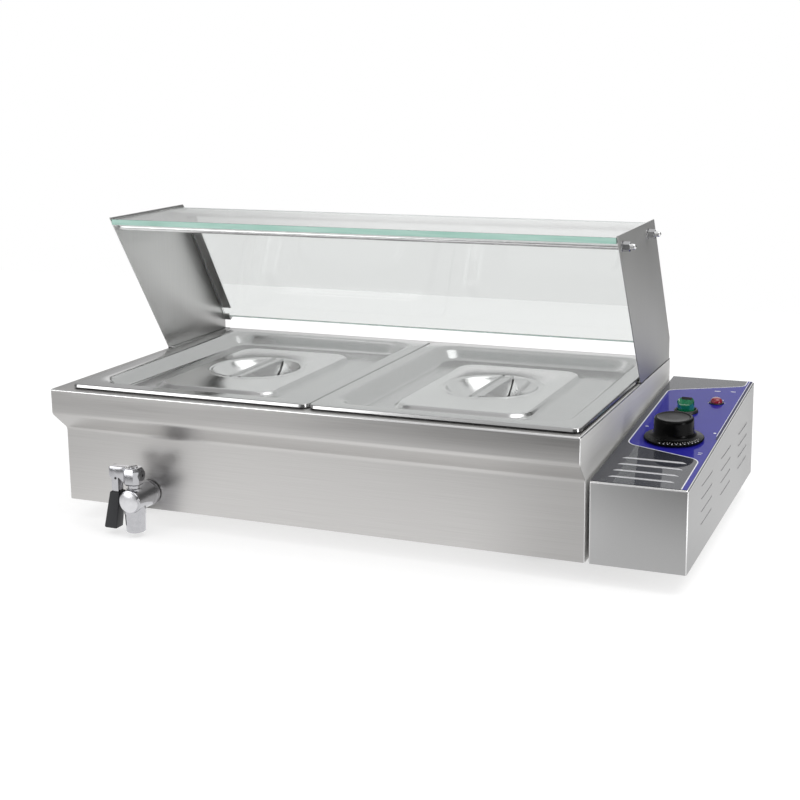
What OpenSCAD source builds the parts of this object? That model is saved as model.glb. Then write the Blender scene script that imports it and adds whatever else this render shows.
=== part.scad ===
// Electric bain-marie: two covered pans in a water tank, a glass food guard,
// a drain tap with a lever and a side box with the controls.
// Sizes are in millimetres. +X is the control box side, +Y the rear, +Z up.
// The feet stand on Z = 0 and the origin is the middle of the whole footprint.

/* [View] */
// Sub-part to draw, or all

/* [Casing] */
// Width over the lower walls
casing_width = 548; // [546:1:600]
// Depth over the lower walls
casing_depth = 342; // [336:1:380]
// Height from the bottom edge to the deck
casing_height = 120; // [114:1:140]
// Height of the upright collar under the deck
collar_height = 26; // [20:1:34]
// Height of the taper under the collar
taper_height = 18; // [12:1:24]
// How far the collar stands out over the front wall
front_overhang = 18; // [14:1:24]
// How far the collar stands out over the left wall
left_overhang = 4; // [2:0.5:10]
// Thickness of the casing sheet
sheet = 1; // [0.8:0.1:1.2]
// Height of the feet
foot_height = 20; // [18:1:30]

/* [Pans and lids] */
// Width of one lid, along X
lid_width = 265; // [255:1:265]
// Length of one lid, along Y
lid_length = 325; // [310:1:326]
// Depth of the pans
pan_depth = 65; // [40:1:68]
// Diameter of the handle bowl pressed into a lid
bowl_diameter = 94; // [80:1:106]
// Depth of the handle bowl
bowl_depth = 25; // [16:1:26]

/* [Food guard] */
// Height of the side panels above the casing's bottom edge
guard_height = 281; // [260:1:310]
// Depth of the side panels along their top edge
guard_top_depth = 155; // [140:1:170]
// Depth of the side panels along their foot
guard_foot_depth = 131; // [118:1:140]
// How far the top of the guard leans forward of its foot
guard_lean = 106; // [90:1:116]
// Thickness of the shelf glass
shelf_thickness = 6; // [5:0.5:8]
// Diameter of the two rods under the shelf glass
rod_diameter = 7; // [6.5:0.5:8]

/* [Control box] */
// Width of the box
box_width = 87.5; // [84:0.5:110]
// Height of the box at the front
box_front_height = 76.5; // [72:0.5:84]
// Height of the box at the rear
box_rear_height = 99.5; // [92:0.5:106]
// Gap between casing and box
box_gap = 3.5; // [2:0.5:6]
// Diameter of the knob's skirt
knob_diameter = 57; // [50:1:62]

/* [Drain tap] */
// Distance of the tap from the left wall
tap_x = 97; // [80:1:240]
// Height of the tap's inlet above the casing's bottom edge
tap_z = 17.5; // [16.5:0.5:24]
// Distance of the spout from the front wall
tap_reach = 28; // [27:0.5:40]

/* [Hidden] */
$fn = 48;

// gaps between pieces
seat = 0.3;
slip = 0.05;
cut = 1;

// casing
collar_bottom = casing_height - collar_height;
taper_bottom = collar_bottom - taper_height;
front_angle = atan(front_overhang / taper_height);
left_angle = atan(left_overhang / taper_height);

// lids and pans, placed from the right wall and the front wall
lid_sheet = 0.9;
pan_sheet = 0.9;
lid_gap = 1;
lid_right_x = casing_width - 3 - lid_width;
lid_left_x = lid_right_x - lid_gap - lid_width;
lid_y = -8;
lip_height = 3;
lip_top = casing_height + lip_height;
pan_edge = 1.4;
pan_flange = 10.5;
pan_wall = pan_edge + pan_flange;
pan_slope = 0.09;
pan_corner = 40;
pan_chamfer = 10;
lid_z = lip_top + pan_sheet;
lid_lip = 2.3;
rim_corner = 14;
lid_flange = 18;
lid_sink = 13;
sink_corner = 30;
pad_rise = 4.8;
pad_margin = 62;
pad_width = lid_width - 2 * pad_margin;
pad_length = lid_length - 2 * pad_margin + 6;
pad_corner = 24;
bowl_radius = (pow(bowl_diameter / 2, 2) + pow(bowl_depth, 2)) / (2 * bowl_depth);
handle_width = 15;
handle_sheet = 1.2;
handle_drop = 15;
handle_rest = 3;
handle_rib = 0.9;
bead_radius = 0.8;
bead_gap = 0.8;

// water tank
tank_x = lid_left_x + 6;
tank_y = lid_y + pan_wall - 2;
tank_width = 2 * lid_width + lid_gap - 6 - 7;
tank_length = lid_length - pan_wall + 2 - 7;
tank_corner = 20;
tank_floor = 6;
tank_flange = 8;
tank_end_x = tank_x + tank_width;
middle_x = lid_right_x - lid_gap / 2;
groove_half = 3.5;
groove_depth = 2.5;

// control box
box_x = casing_width + box_gap;
box_end = box_x + box_width;
box_slope = atan((box_rear_height - box_front_height) / casing_depth);
overlay_thickness = 0.4;
knob_place = [0.53 * box_width, 0.386 * casing_depth];
switch_place = [0.458 * box_width, 0.64 * casing_depth];
lamp_place = [0.725 * box_width, 0.7485 * casing_depth];
side_louvre_length = 54;
top_louvre_length = 59;
top_louvre_x = 13;
louvre_radius = 2.6;
louvre_wall = 0.9;

// heating element and sensor
element_radius = 4;
element_z = 32;
element_near = tank_y + 70;
element_far = tank_y + tank_length - 70;
element_bend = (element_far - element_near) / 2;
element_end = box_x + 26;
element_inset = 50;
support_inset = 200;
support_width = 10;
support_length = 14;
sensor_y = tank_y + 34;
sensor_z = 34;
bulb_setback = 110;
bulb_length = 78;
bulb_radius = 3;
clip_setback = 80;
clip_width = 8;
clip_length = 10;
tube_rise = 14;

// guard
panel_sheet = 1.2;
foot_flange = 8;
rear_flange = 15;
fold_inset = 0.2;
guard_foot_front = casing_depth - 5 - guard_foot_depth;
guard_rear = guard_foot_front + guard_foot_depth;
guard_top_front = guard_foot_front - guard_lean;
guard_top_rear = guard_top_front + guard_top_depth;
guard_kink = casing_height + 23.5;
lean_angle = atan((guard_rear - guard_top_rear) / (guard_height - guard_kink));
lean_length = (guard_height - guard_kink) / cos(lean_angle);
panel_left_x = -left_overhang;
panel_right_x = casing_width - panel_sheet;
shelf_top = guard_height - 1.8;
rod_radius = rod_diameter / 2;
rod_end_radius = 2.8;
rod_z = shelf_top - shelf_thickness - 0.2 - rod_radius;
rod_front_y = guard_top_front + 17;
rod_rear_y = guard_top_rear - 20;
rod_end = 17;
rear_glass_thickness = 5;

// tap
shank_radius = 8;
housing_radius = 12;
housing_front = tap_reach + 10.5;
ball_radius = 8.2;
cavity_radius = 9.2;
hub_bottom = tap_z + 15.8;
hub_top = tap_z + 33.3;
hub_half = 9;
leg_left = -23.2;
leg_right = -15.5;
leg_low = 3.8;
leg_half = 4.5;

// rubber feet, set in so far that the casing hides them
foot_inset = 62;
foot_x = [foot_inset, casing_width - foot_inset];
foot_y = [foot_inset, casing_depth - foot_inset];

// whole footprint
x_min = panel_left_x - rod_end - rod_end_radius;
x_max = box_end + louvre_radius;
y_min = -housing_front - 0.8;
gland_reach = 16;
y_max = casing_depth + gland_reach;

// colours
steel = [0.74, 0.75, 0.76];
bright_steel = [0.82, 0.83, 0.84];
chrome = [0.88, 0.89, 0.90];
black = [0.08, 0.08, 0.09];
rubber = [0.14, 0.14, 0.14];
glass = [0.80, 0.92, 0.88, 0.45];
blue = [0.24, 0.23, 0.62];
brass = [0.78, 0.64, 0.32];
white = [0.93, 0.93, 0.90];

// moves from the casing's front left bottom corner to the shared origin
module place() {
    translate([-(x_min + x_max) / 2, -(y_min + y_max) / 2, foot_height]) children();
}

// stands a shape on the sloping top of the control box
module on_panel(spot) {
    translate([box_x, 0, box_front_height]) rotate([box_slope, 0, 0]) translate([spot[0], spot[1], 0]) children();
}

// lays a shape along the leaning rear edge of the guard, z running up the edge
module on_lean() {
    translate([0, guard_rear, guard_kink]) rotate([lean_angle, 0, 0]) children();
}

module along_x(point) {
    translate(point) rotate([0, 90, 0]) children();
}

module along_y(point) {
    translate(point) rotate([-90, 0, 0]) children();
}

module rounded_rectangle(width, length, radius) {
    translate([radius, 0]) square([width - 2 * radius, length]);
    translate([0, radius]) square([width, length - 2 * radius]);
    for (x = [radius, width - radius], y = [radius, length - radius])
        translate([x, y]) circle(radius);
}

module rounded_plate(width, length, height, radius) {
    linear_extrude(height) rounded_rectangle(width, length, radius);
}

// a rounded block that narrows downwards from z = 0, by slope for each unit of depth
module tapered_block(width, length, depth, radius, slope) {
    inset = slope * depth;
    translate([0, 0, -depth]) {
        translate([0, length - radius, 0]) rotate([90, 0, 0]) linear_extrude(length - 2 * radius)
            polygon([[inset, 0], [width - inset, 0], [width, depth], [0, depth]]);
        translate([radius, 0, 0]) rotate([90, 0, 90]) linear_extrude(width - 2 * radius)
            polygon([[inset, 0], [length - inset, 0], [length, depth], [0, depth]]);
        for (x = [radius, width - radius], y = [radius, length - radius])
            translate([x, y, 0]) cylinder(h = depth, r1 = radius - inset, r2 = radius);
    }
}

module tube(length, outer, inner) {
    difference() {
        cylinder(h = length, r = outer);
        translate([0, 0, -cut]) cylinder(h = length + 2 * cut, r = inner);
    }
}

module hexagon_nut(flats, length, bore) {
    difference() {
        cylinder(h = length, r = flats / sqrt(3), $fn = 6);
        translate([0, 0, -cut]) cylinder(h = length + 2 * cut, r = bore);
    }
}

// a round wire through a list of points
module wire(points, radius) {
    for (i = [0 : len(points) - 2]) {
        step = points[i + 1] - points[i];
        turn = atan2(step[1], step[0]);
        tilt = acos(step[2] / norm(step));
        translate(points[i]) rotate([0, tilt, turn]) cylinder(h = norm(step), r = radius, $fn = 24);
    }
    for (i = [1 : len(points) - 2])
        translate(points[i]) sphere(radius, $fn = 24);
}

// the casing's form, drawn in by a wall's thickness
module casing_form(inset, low, high) {
    front_rise = inset * tan(front_angle / 2);
    left_rise = inset * tan(left_angle / 2);
    front = [[inset, low], [inset, taper_bottom + front_rise],
        [inset - front_overhang, collar_bottom + front_rise], [inset - front_overhang, high],
        [casing_depth - inset, high], [casing_depth - inset, low]];
    left = [[inset, low], [inset, taper_bottom + left_rise],
        [inset - left_overhang, collar_bottom + left_rise], [inset - left_overhang, high],
        [casing_width + cut, high], [casing_width + cut, low]];
    intersection() {
        translate([-left_overhang - cut, 0, 0]) rotate([90, 0, 90])
            linear_extrude(casing_width + left_overhang + cut - inset) polygon(front);
        translate([0, casing_depth + cut, 0]) rotate([90, 0, 0])
            linear_extrude(casing_depth + front_overhang + 2 * cut) polygon(left);
    }
}

box_screw_places = [[24, 18], [24, box_front_height - 16], [casing_depth - 24, 18],
    [casing_depth - 24, box_front_height - 16]];

// holes that the element, the sensor and the box screws need in an upright wall
module side_wall_holes(x, length) {
    for (y = [element_near, element_far])
        along_x([x, y, element_z]) cylinder(h = length, r = element_radius + seat);
    along_x([x, sensor_y, sensor_z]) cylinder(h = length, r = 1.5);
}

module box_screw_holes(x, length) {
    for (spot = box_screw_places)
        along_x([x, spot[0], spot[1]]) cylinder(h = length, r = 2.2);
}

module outer_casing() {
    color(steel) place() difference() {
        casing_form(0, 0, casing_height);
        casing_form(sheet, -cut, casing_height - sheet);
        translate([tank_x - seat, tank_y - seat, casing_height - 2 * sheet])
            rounded_plate(tank_width + 2 * seat, tank_length + 2 * seat, 3 * sheet, tank_corner + seat);
        along_y([tap_x, -cut, tap_z]) cylinder(h = sheet + 2 * cut, r = shank_radius + seat);
        side_wall_holes(casing_width - 2 * sheet, 3 * sheet);
        box_screw_holes(casing_width - 2 * sheet, 3 * sheet);
    }
}

module water_tank() {
    color(bright_steel) place() difference() {
        union() {
            translate([tank_x, tank_y, tank_floor])
                rounded_plate(tank_width, tank_length, lip_top - tank_floor, tank_corner);
            translate([tank_x - tank_flange, tank_y - tank_flange, casing_height - 2 * sheet])
                rounded_plate(tank_width + 2 * tank_flange, tank_length + 2 * tank_flange, sheet, tank_corner + tank_flange);
        }
        translate([tank_x + sheet, tank_y + sheet, tank_floor + sheet])
            rounded_plate(tank_width - 2 * sheet, tank_length - 2 * sheet, lip_top, tank_corner - sheet);
        translate([middle_x - groove_half, tank_y - cut, lip_top - groove_depth])
            cube([2 * groove_half, tank_length + 2 * cut, 2 * groove_depth]);
        along_y([tap_x, tank_y - cut, tap_z]) cylinder(h = sheet + 2 * cut, r = shank_radius + seat);
        side_wall_holes(tank_end_x - 2 * sheet, 3 * sheet);
    }
}

// folded channel that carries the two inner pan rims, grooved for the lids' lips
module pan_support_bar() {
    half = 9;
    height = 10;
    wall = 1.5;
    right = [[groove_half, -groove_depth], [groove_half, 0], [half, 0], [half, -height], [half - wall, -height],
        [half - wall, -wall], [groove_half + wall, -wall], [groove_half + wall, -groove_depth - wall]];
    left = [for (i = [len(right) - 1 : -1 : 0]) [-right[i][0], right[i][1]]];
    length = tank_length - 2 * sheet;
    color(bright_steel) place() translate([middle_x, tank_y + sheet + length, lip_top])
        rotate([90, 0, 0]) linear_extrude(length) polygon(concat(right, left));
}

module base_plate() {
    color(steel) place() difference() {
        translate([sheet, sheet, 0]) cube([casing_width - 2 * sheet, casing_depth - 2 * sheet, sheet]);
        for (x = foot_x, y = foot_y)
            translate([x, y, -cut]) cylinder(h = sheet + 2 * cut, r = 2.3);
    }
}

module at_feet() {
    for (x = foot_x, y = foot_y)
        translate([x, y, -foot_height]) children();
}

module rubber_feet() {
    color(rubber) place() at_feet() difference() {
        cylinder(h = foot_height, r1 = 13, r2 = 16);
        translate([0, 0, -cut]) cylinder(h = foot_height + 2 * cut, r = 2.1);
        translate([0, 0, -cut]) cylinder(h = foot_height - 8 + cut, r = 5.5);
    }
}

module foot_screws() {
    color(steel) place() at_feet() {
        translate([0, 0, foot_height - 8 - 2.5]) cylinder(h = 2.5, r = 4.5);
        translate([0, 0, foot_height - 8]) cylinder(h = 8 + tank_floor - 1.5, r = 2);
    }
}

module foot_nuts() {
    color(steel) place() at_feet() translate([0, 0, foot_height + sheet]) hexagon_nut(7, 3, 2 + slip);
}

// hairpin tube low in the tank, its two cold ends in the control box
module heating_element() {
    bend_x = tank_x + element_inset + element_bend;
    color(steel) place() {
        for (y = [element_near, element_far]) {
            along_x([bend_x, y, element_z]) cylinder(h = element_end - bend_x, r = element_radius);
            along_x([element_end, y, element_z]) cylinder(h = 12, r = 2);
        }
        translate([bend_x, (element_near + element_far) / 2, element_z]) rotate([0, 0, 90])
            rotate_extrude(angle = 180) translate([element_bend, 0]) circle(element_radius);
    }
}

module element_nuts() {
    color(brass) place() for (y = [element_near, element_far]) {
        along_x([tank_end_x - sheet - 5, y, element_z]) hexagon_nut(16, 5, element_radius + slip);
        along_x([tank_end_x, y, element_z]) hexagon_nut(16, 4, element_radius + slip);
    }
}

// posts with a half-round saddle, standing on the tank floor
module element_supports() {
    floor = tank_floor + sheet;
    color(steel) place() for (y = [element_near, element_far]) difference() {
        translate([tank_x + support_inset, y - support_length / 2, floor])
            cube([support_width, support_length, element_z - floor]);
        along_x([tank_x + support_inset - cut, y, element_z])
            cylinder(h = support_width + 2 * cut, r = element_radius + slip);
    }
}

// bulb in the water and the thin tube that leads to the thermostat
module thermostat_sensor() {
    bulb_x = tank_end_x - bulb_setback;
    color(brass) place() {
        along_x([bulb_x, sensor_y, sensor_z]) cylinder(h = bulb_length, r = bulb_radius);
        wire([[bulb_x + bulb_length - 2, sensor_y, sensor_z], [box_x + 14, sensor_y, sensor_z],
            [box_x + 14, sensor_y, sensor_z + tube_rise], [box_x + 14, knob_place[1] - 8, sensor_z + tube_rise],
            [box_x + knob_place[0], knob_place[1] - 8, sensor_z + tube_rise],
            [box_x + knob_place[0], knob_place[1] - 8, thermostat_low(knob_place[1] - 8) - 0.1]], 1);
    }
}

module sensor_nut() {
    color(brass) place() {
        along_x([tank_end_x - sheet - 4, sensor_y, sensor_z]) hexagon_nut(8, 4, 1 + slip);
        along_x([tank_end_x, sensor_y, sensor_z]) hexagon_nut(8, 3, 1 + slip);
    }
}

module sensor_clip() {
    floor = tank_floor + sheet;
    color(steel) place() difference() {
        translate([tank_end_x - clip_setback, sensor_y - clip_length / 2, floor])
            cube([clip_width, clip_length, sensor_z - floor]);
        along_x([tank_end_x - clip_setback - cut, sensor_y, sensor_z])
            cylinder(h = clip_width + 2 * cut, r = bulb_radius + slip);
    }
}

function panel_z(y) = box_front_height + (box_rear_height - box_front_height) * y / casing_depth;
// underside of the thermostat body, which hangs square to the sloping top
thermostat_height = 24;
function thermostat_low(y) = panel_z(y) - (sheet + thermostat_height) / cos(box_slope);

// quarter-round hood with closed ends along +Y, open below
module louvre_hood(length) {
    difference() {
        along_y([0, 0, 0]) cylinder(h = length, r = louvre_radius);
        along_y([0, louvre_wall, 0]) cylinder(h = length - 2 * louvre_wall, r = louvre_radius - louvre_wall);
        translate([-2 * louvre_radius - seat, -cut, -2 * louvre_radius])
            cube([2 * louvre_radius, length + 2 * cut, 4 * louvre_radius]);
        translate([-cut, -cut, -2 * louvre_radius]) cube([2 * louvre_radius, length + 2 * cut, 2 * louvre_radius]);
    }
}

side_louvre_y = [for (i = [0 : 2]) 0.245 * casing_depth + i * 0.28 * casing_depth - side_louvre_length / 2];
side_louvre_z = [for (i = [0 : 3]) 28 + 12 * i];
top_louvre_y = [for (i = [0 : 3]) 15 + 17 * i];
gland_place = [box_x + box_width / 2, 28];

module control_box() {
    wall_top = sheet / cos(box_slope);
    inner = [[sheet, -cut], [casing_depth - sheet, -cut],
        [casing_depth - sheet, panel_z(casing_depth - sheet) - wall_top], [sheet, panel_z(sheet) - wall_top]];
    color(steel) place() {
        difference() {
            translate([box_x, 0, 0]) rotate([90, 0, 90]) linear_extrude(box_width)
                polygon([[0, 0], [casing_depth, 0], [casing_depth, box_rear_height], [0, box_front_height]]);
            translate([box_x + sheet, 0, 0]) rotate([90, 0, 90]) linear_extrude(box_width - 2 * sheet) polygon(inner);
            on_panel(knob_place) translate([0, 0, -3]) cylinder(h = 6, r = 5);
            on_panel(switch_place) translate([0, 0, -3]) cylinder(h = 6, r = 10.5);
            on_panel(lamp_place) translate([0, 0, -3]) cylinder(h = 6, r = 4.6);
            for (y = top_louvre_y)
                on_panel([top_louvre_x, y]) translate([louvre_wall, 0.2, -3]) cube([top_louvre_length - 2 * louvre_wall, 1.2, 6]);
            for (y = side_louvre_y, z = side_louvre_z)
                translate([box_end - 2 * sheet, y + louvre_wall, z + 0.2])
                    cube([3 * sheet, side_louvre_length - 2 * louvre_wall, 1.2]);
            side_wall_holes(box_x - cut, sheet + 2 * cut);
            box_screw_holes(box_x - cut, sheet + 2 * cut);
            along_y([gland_place[0], casing_depth - 2 * sheet, gland_place[1]]) cylinder(h = 4 * sheet, r = 7.8);
        }
        for (y = side_louvre_y, z = side_louvre_z)
            translate([box_end, y, z]) louvre_hood(side_louvre_length);
        for (y = top_louvre_y)
            on_panel([top_louvre_x + top_louvre_length, y]) rotate([0, -90, 90]) louvre_hood(top_louvre_length);
    }
}

module box_floor() {
    color(steel) place() translate([box_x + sheet, sheet, 0])
        cube([box_width - 2 * sheet, casing_depth - 2 * sheet, sheet]);
}

module box_spacers() {
    color(rubber) place() for (spot = box_screw_places)
        along_x([casing_width, spot[0], spot[1]]) tube(box_gap, 6, 2.2);
}

module box_screws() {
    color(steel) place() for (spot = box_screw_places) {
        along_x([casing_width - sheet - 5, spot[0], spot[1]]) cylinder(h = box_gap + 2 * sheet + 5, r = 2);
        along_x([box_x + sheet, spot[0], spot[1]]) cylinder(h = 2.5, r = 4);
    }
}

module box_nuts() {
    color(steel) place() for (spot = box_screw_places)
        along_x([casing_width - sheet - 3.2, spot[0], spot[1]]) hexagon_nut(7, 3.2, 2 + slip);
}

// printed film: a wide field round the controls and a strip along the right edge;
// the field's front and rear borders run askew and meet the strip in a round corner
overlay_left = 7;
overlay_strip = box_width - 6.5;
overlay_right = box_width - 0.6;
overlay_end = casing_depth / cos(box_slope) - 1;
front_border = -20;
rear_border = 24;
front_round = 14;
rear_round = 9;
front_centre = [overlay_left + front_round, 0.342 * casing_depth];
rear_centre = [overlay_left + rear_round, 0.8275 * casing_depth];
front_touch = front_centre + front_round * [sin(front_border), -cos(front_border)];
rear_touch = rear_centre + rear_round * [-sin(rear_border), cos(rear_border)];
front_meet = front_touch[1] + (overlay_strip - front_touch[0]) * tan(front_border);
rear_meet = rear_touch[1] + (overlay_strip - rear_touch[0]) * tan(rear_border);
front_corner = [overlay_strip - front_round, front_meet - front_round / tan(45 - front_border / 2)];
rear_corner = [overlay_strip - rear_round, rear_meet + rear_round / tan(45 + rear_border / 2)];

function arc(centre, radius, from, to) =
    [for (i = [0 : 8]) let (a = from + (to - from) * i / 8) centre + radius * [cos(a), sin(a)]];

module overlay_outline() {
    polygon(concat(
        arc(front_centre, front_round, 180, 270 + front_border),
        arc(front_corner, front_round, 90 + front_border, 0),
        [[overlay_strip, 1], [overlay_right, 1], [overlay_right, overlay_end], [overlay_strip, overlay_end]],
        arc(rear_corner, rear_round, 0, rear_border - 90),
        arc(rear_centre, rear_round, 90 + rear_border, 180)));
}

module control_overlay() {
    color(blue) place() on_panel([0, 0]) difference() {
        linear_extrude(overlay_thickness) overlay_outline();
        translate([knob_place[0], knob_place[1], -cut]) cylinder(h = 3, r = 5.2);
        translate([switch_place[0], switch_place[1], -cut]) cylinder(h = 3, r = 10.7);
        translate([lamp_place[0], lamp_place[1], -cut]) cylinder(h = 3, r = 4.8);
    }
}

module thermostat_body() {
    width = 40;
    length = 44;
    color(white) place() on_panel(knob_place) difference() {
        union() {
            translate([-width / 2, -length / 2, -sheet - thermostat_height]) cube([width, length, thermostat_height]);
            translate([0, 0, -sheet - cut]) cylinder(h = sheet + cut + 0.6, r = 4.6);
        }
        translate([0, 0, -sheet - 14]) cylinder(h = 30, r = 3 + slip);
    }
}

module thermostat_spindle() {
    color(steel) place() on_panel(knob_place) translate([0, 0, -sheet - 13.5]) cylinder(h = sheet + 13.5 + 18, r = 3);
}

// flared skirt with a notched rim, smooth cap and a dished top
module thermostat_knob() {
    skirt = knob_diameter / 2;
    cap = 0.65 * skirt;
    top = 23.4;
    notches = 48;
    color(black) place() on_panel(knob_place) difference() {
        rotate_extrude() polygon([[0, 1.2], [skirt - 1, 1.2], [skirt, 2], [skirt, 3], [cap + 4, 6.2], [cap + 1.2, 8.6],
            [cap, 11], [cap - 0.4, top - 3.6], [cap - 1.4, top - 1.4], [cap - 3, top], [cap - 4, top],
            [cap - 5, top - 1], [0, top - 1]]);
        cylinder(h = 18.2, r = 3 + slip);
        for (i = [0 : notches - 1])
            rotate([0, 0, i * 360 / notches]) translate([skirt + 0.5, 0, 0]) cylinder(h = 6, r = 1.1, $fn = 24);
    }
}

rocker_pivot = 2.2;
rocker_tilt = 16;
module switch_housing() {
    color(black) place() on_panel(switch_place) difference() {
        union() {
            translate([0, 0, overlay_thickness]) cylinder(h = 5, r1 = 12, r2 = 11.3);
            translate([0, 0, -22]) cylinder(h = 22 + overlay_thickness + cut, r = 10.2);
            for (x = [-5, 4.2])
                translate([x, -2.5, -28]) cube([0.8, 5, 7]);
        }
        translate([0, 0, -18]) cylinder(h = 30, r = 9.5);
        along_x([-11.2, 0, rocker_pivot]) cylinder(h = 22.4, r = 1.4 + slip, $fn = 32);
    }
}

module switch_rocker() {
    color([0.05, 0.42, 0.24]) place() on_panel(switch_place) translate([0, 0, rocker_pivot]) rotate([rocker_tilt, 0, 0]) {
        intersection() {
            translate([0, 0, -8]) cylinder(h = 20, r = 8.4);
            translate([-9, 0, 0]) rotate([90, 0, 90]) linear_extrude(18)
                polygon([[-6, -5], [6, -5], [7.9, -1], [7.9, 9.8], [6.8, 10.7], [0, 5.4], [-6.8, 10.7], [-7.9, 9.8], [-7.9, -1]]);
        }
        along_x([-11, 0, 0]) cylinder(h = 22, r = 1.4, $fn = 32);
    }
}

module lamp_holder() {
    color(black) place() on_panel(lamp_place) translate([0, 0, -26]) cylinder(h = 26 + overlay_thickness, r = 4.4);
}

module lamp_lens() {
    radius = 6;
    dome = 7.5;
    color([0.75, 0.05, 0.10]) place() on_panel(lamp_place) translate([0, 0, overlay_thickness]) {
        cylinder(h = 2.2, r = radius);
        intersection() {
            translate([0, 0, 2]) cylinder(h = dome, r = radius);
            translate([0, 0, 2.2 - sqrt(dome * dome - radius * radius)]) sphere(dome);
        }
    }
}

terminal_place = [box_x + 30, casing_depth - 96];
module terminal_block() {
    color(white) place() translate([terminal_place[0], terminal_place[1], sheet]) difference() {
        cube([20, 46, 18]);
        for (i = [0 : 2])
            translate([10, 9 + 14 * i, 8]) cylinder(h = 12, r = 3);
    }
}

module cable_gland() {
    color(black) place() difference() {
        union() {
            along_y([gland_place[0], casing_depth - sheet - 8, gland_place[1]]) cylinder(h = sheet + 9, r = 7.5);
            along_y([gland_place[0], casing_depth, gland_place[1]]) cylinder(h = 6, r = 11, $fn = 6);
            along_y([gland_place[0], casing_depth + 5, gland_place[1]]) cylinder(h = gland_reach - 5, r1 = 9.2, r2 = 7);
        }
        along_y([gland_place[0], casing_depth - 20, gland_place[1]]) cylinder(h = 50, r = 4);
    }
}

module gland_nut() {
    color(black) place()
        along_y([gland_place[0], casing_depth - sheet - 5, gland_place[1]]) hexagon_nut(20, 5, 7.5 + slip);
}

function panel_point(x, along, off) = [box_x + x, along * cos(box_slope) - off * sin(box_slope),
    box_front_height + along * sin(box_slope) + off * cos(box_slope)];

// internal leads between terminal block, switch, thermostat, lamp and element
module wiring() {
    lead = 1.2;
    block_front = terminal_place[1] - 0.1;
    block_right = terminal_place[0] + 20.1;
    live = panel_point(switch_place[0] + 4.6, switch_place[1], -28.2);
    switched = panel_point(switch_place[0] - 4.6, switch_place[1], -28.2);
    body_rear = panel_point(switch_place[0] - 4.6, knob_place[1] + 22.1, -sheet - 14);
    body_front = panel_point(knob_place[0] + 3, knob_place[1] - 22.1, -sheet - 14);
    lamp = panel_point(lamp_place[0], lamp_place[1], -26.1);
    near = [element_end + 12.1, element_near, element_z];
    far = [element_end + 12.1, element_far, element_z];
    color([0.55, 0.12, 0.10]) place() {
        wire([[live[0], block_front, 12], [live[0], live[1], 12], live], lead);
        wire([switched, [switched[0], switched[1], switched[2] - 8], [switched[0], body_rear[1] + 20, switched[2] - 8],
            [switched[0], body_rear[1] + 20, body_rear[2]], body_rear], lead);
        wire([near, [body_front[0], near[1], near[2]], [body_front[0], near[1], body_front[2]], body_front], lead);
        wire([far, [block_right + 10, far[1], far[2]], [block_right + 10, terminal_place[1] + 16, far[2]],
            [block_right + 10, terminal_place[1] + 16, 12], [block_right, terminal_place[1] + 16, 12]], lead);
        wire([lamp, [lamp[0], lamp[1], 15], [block_right, lamp[1], 15]], lead);
    }
}

// side sheet with an inward foot, a folded rear edge and two rod holes; inward is 1 or -1
module guard_panel(x, inward) {
    outline = [[guard_foot_front, casing_height], [guard_rear, casing_height], [guard_rear, guard_kink],
        [guard_top_rear, guard_height], [guard_top_front, guard_height]];
    middle = x + panel_sheet / 2;
    foot_x = inward > 0 ? middle : x + panel_sheet - foot_flange;
    fold_x = inward > 0 ? middle : x + panel_sheet - rear_flange;
    half_sheet = panel_sheet / 2;
    difference() {
        union() {
            translate([x, 0, 0]) rotate([90, 0, 90]) linear_extrude(panel_sheet) polygon(outline);
            translate([foot_x, guard_foot_front + seat, casing_height])
                cube([foot_flange - half_sheet, guard_foot_depth - 2 * seat, panel_sheet]);
            on_lean() translate([fold_x, -panel_sheet - fold_inset, 6])
                cube([rear_flange - half_sheet, panel_sheet, lean_length - 26]);
        }
        for (y = [rod_front_y, rod_rear_y])
            along_x([x - cut, y, rod_z]) cylinder(h = panel_sheet + 2 * cut, r = rod_end_radius + 0.2);
    }
}

module guard_panel_left() {
    color(steel) place() guard_panel(panel_left_x, 1);
}

module guard_panel_right() {
    color(steel) place() guard_panel(panel_right_x, -1);
}

glass_low_x = panel_left_x + panel_sheet + 0.5;
glass_width = panel_right_x - 0.5 - glass_low_x;
module shelf_glass() {
    color(glass) place() translate([glass_low_x, guard_top_front + 2, shelf_top - shelf_thickness])
        cube([glass_width, guard_top_depth - 8, shelf_thickness]);
}

rear_glass_low = -6;
rear_glass_high = lean_length - 16;
module rear_glass() {
    color(glass) place() on_lean()
        translate([glass_low_x, -panel_sheet - fold_inset - rear_glass_thickness, rear_glass_low])
            cube([glass_width, rear_glass_thickness, rear_glass_high - rear_glass_low]);
}

// hooks on the panels: two under the glass, two in front of its upper corners
module glass_clips() {
    width = 9;
    back = -panel_sheet - fold_inset;
    front = back - rear_glass_thickness - seat;
    low = [[back, rear_glass_low - 3], [front - 2, rear_glass_low - 3], [front - 2, rear_glass_low + 6],
        [front, rear_glass_low + 6], [front, rear_glass_low - seat], [back, rear_glass_low - seat]];
    color(steel) place() on_lean() for (x = [panel_left_x + panel_sheet, panel_right_x - width]) {
        translate([x, 0, 0]) rotate([90, 0, 90]) linear_extrude(width) polygon(low);
        translate([x, front - 2, rear_glass_high - 18]) cube([width, 2, 12]);
    }
}

module rod(y) {
    inner_left = panel_left_x + panel_sheet;
    along_x([inner_left, y, rod_z]) cylinder(h = panel_right_x - inner_left, r = rod_radius);
    along_x([panel_left_x - rod_end, y, rod_z])
        cylinder(h = panel_right_x + panel_sheet - panel_left_x + 2 * rod_end, r = rod_end_radius);
    for (x = [panel_left_x - rod_end, panel_right_x + panel_sheet + rod_end])
        translate([x, y, rod_z]) sphere(rod_end_radius);
}

module front_rod() {
    color(chrome) place() rod(rod_front_y);
}

module rear_rod() {
    color(chrome) place() rod(rod_rear_y);
}

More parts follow.
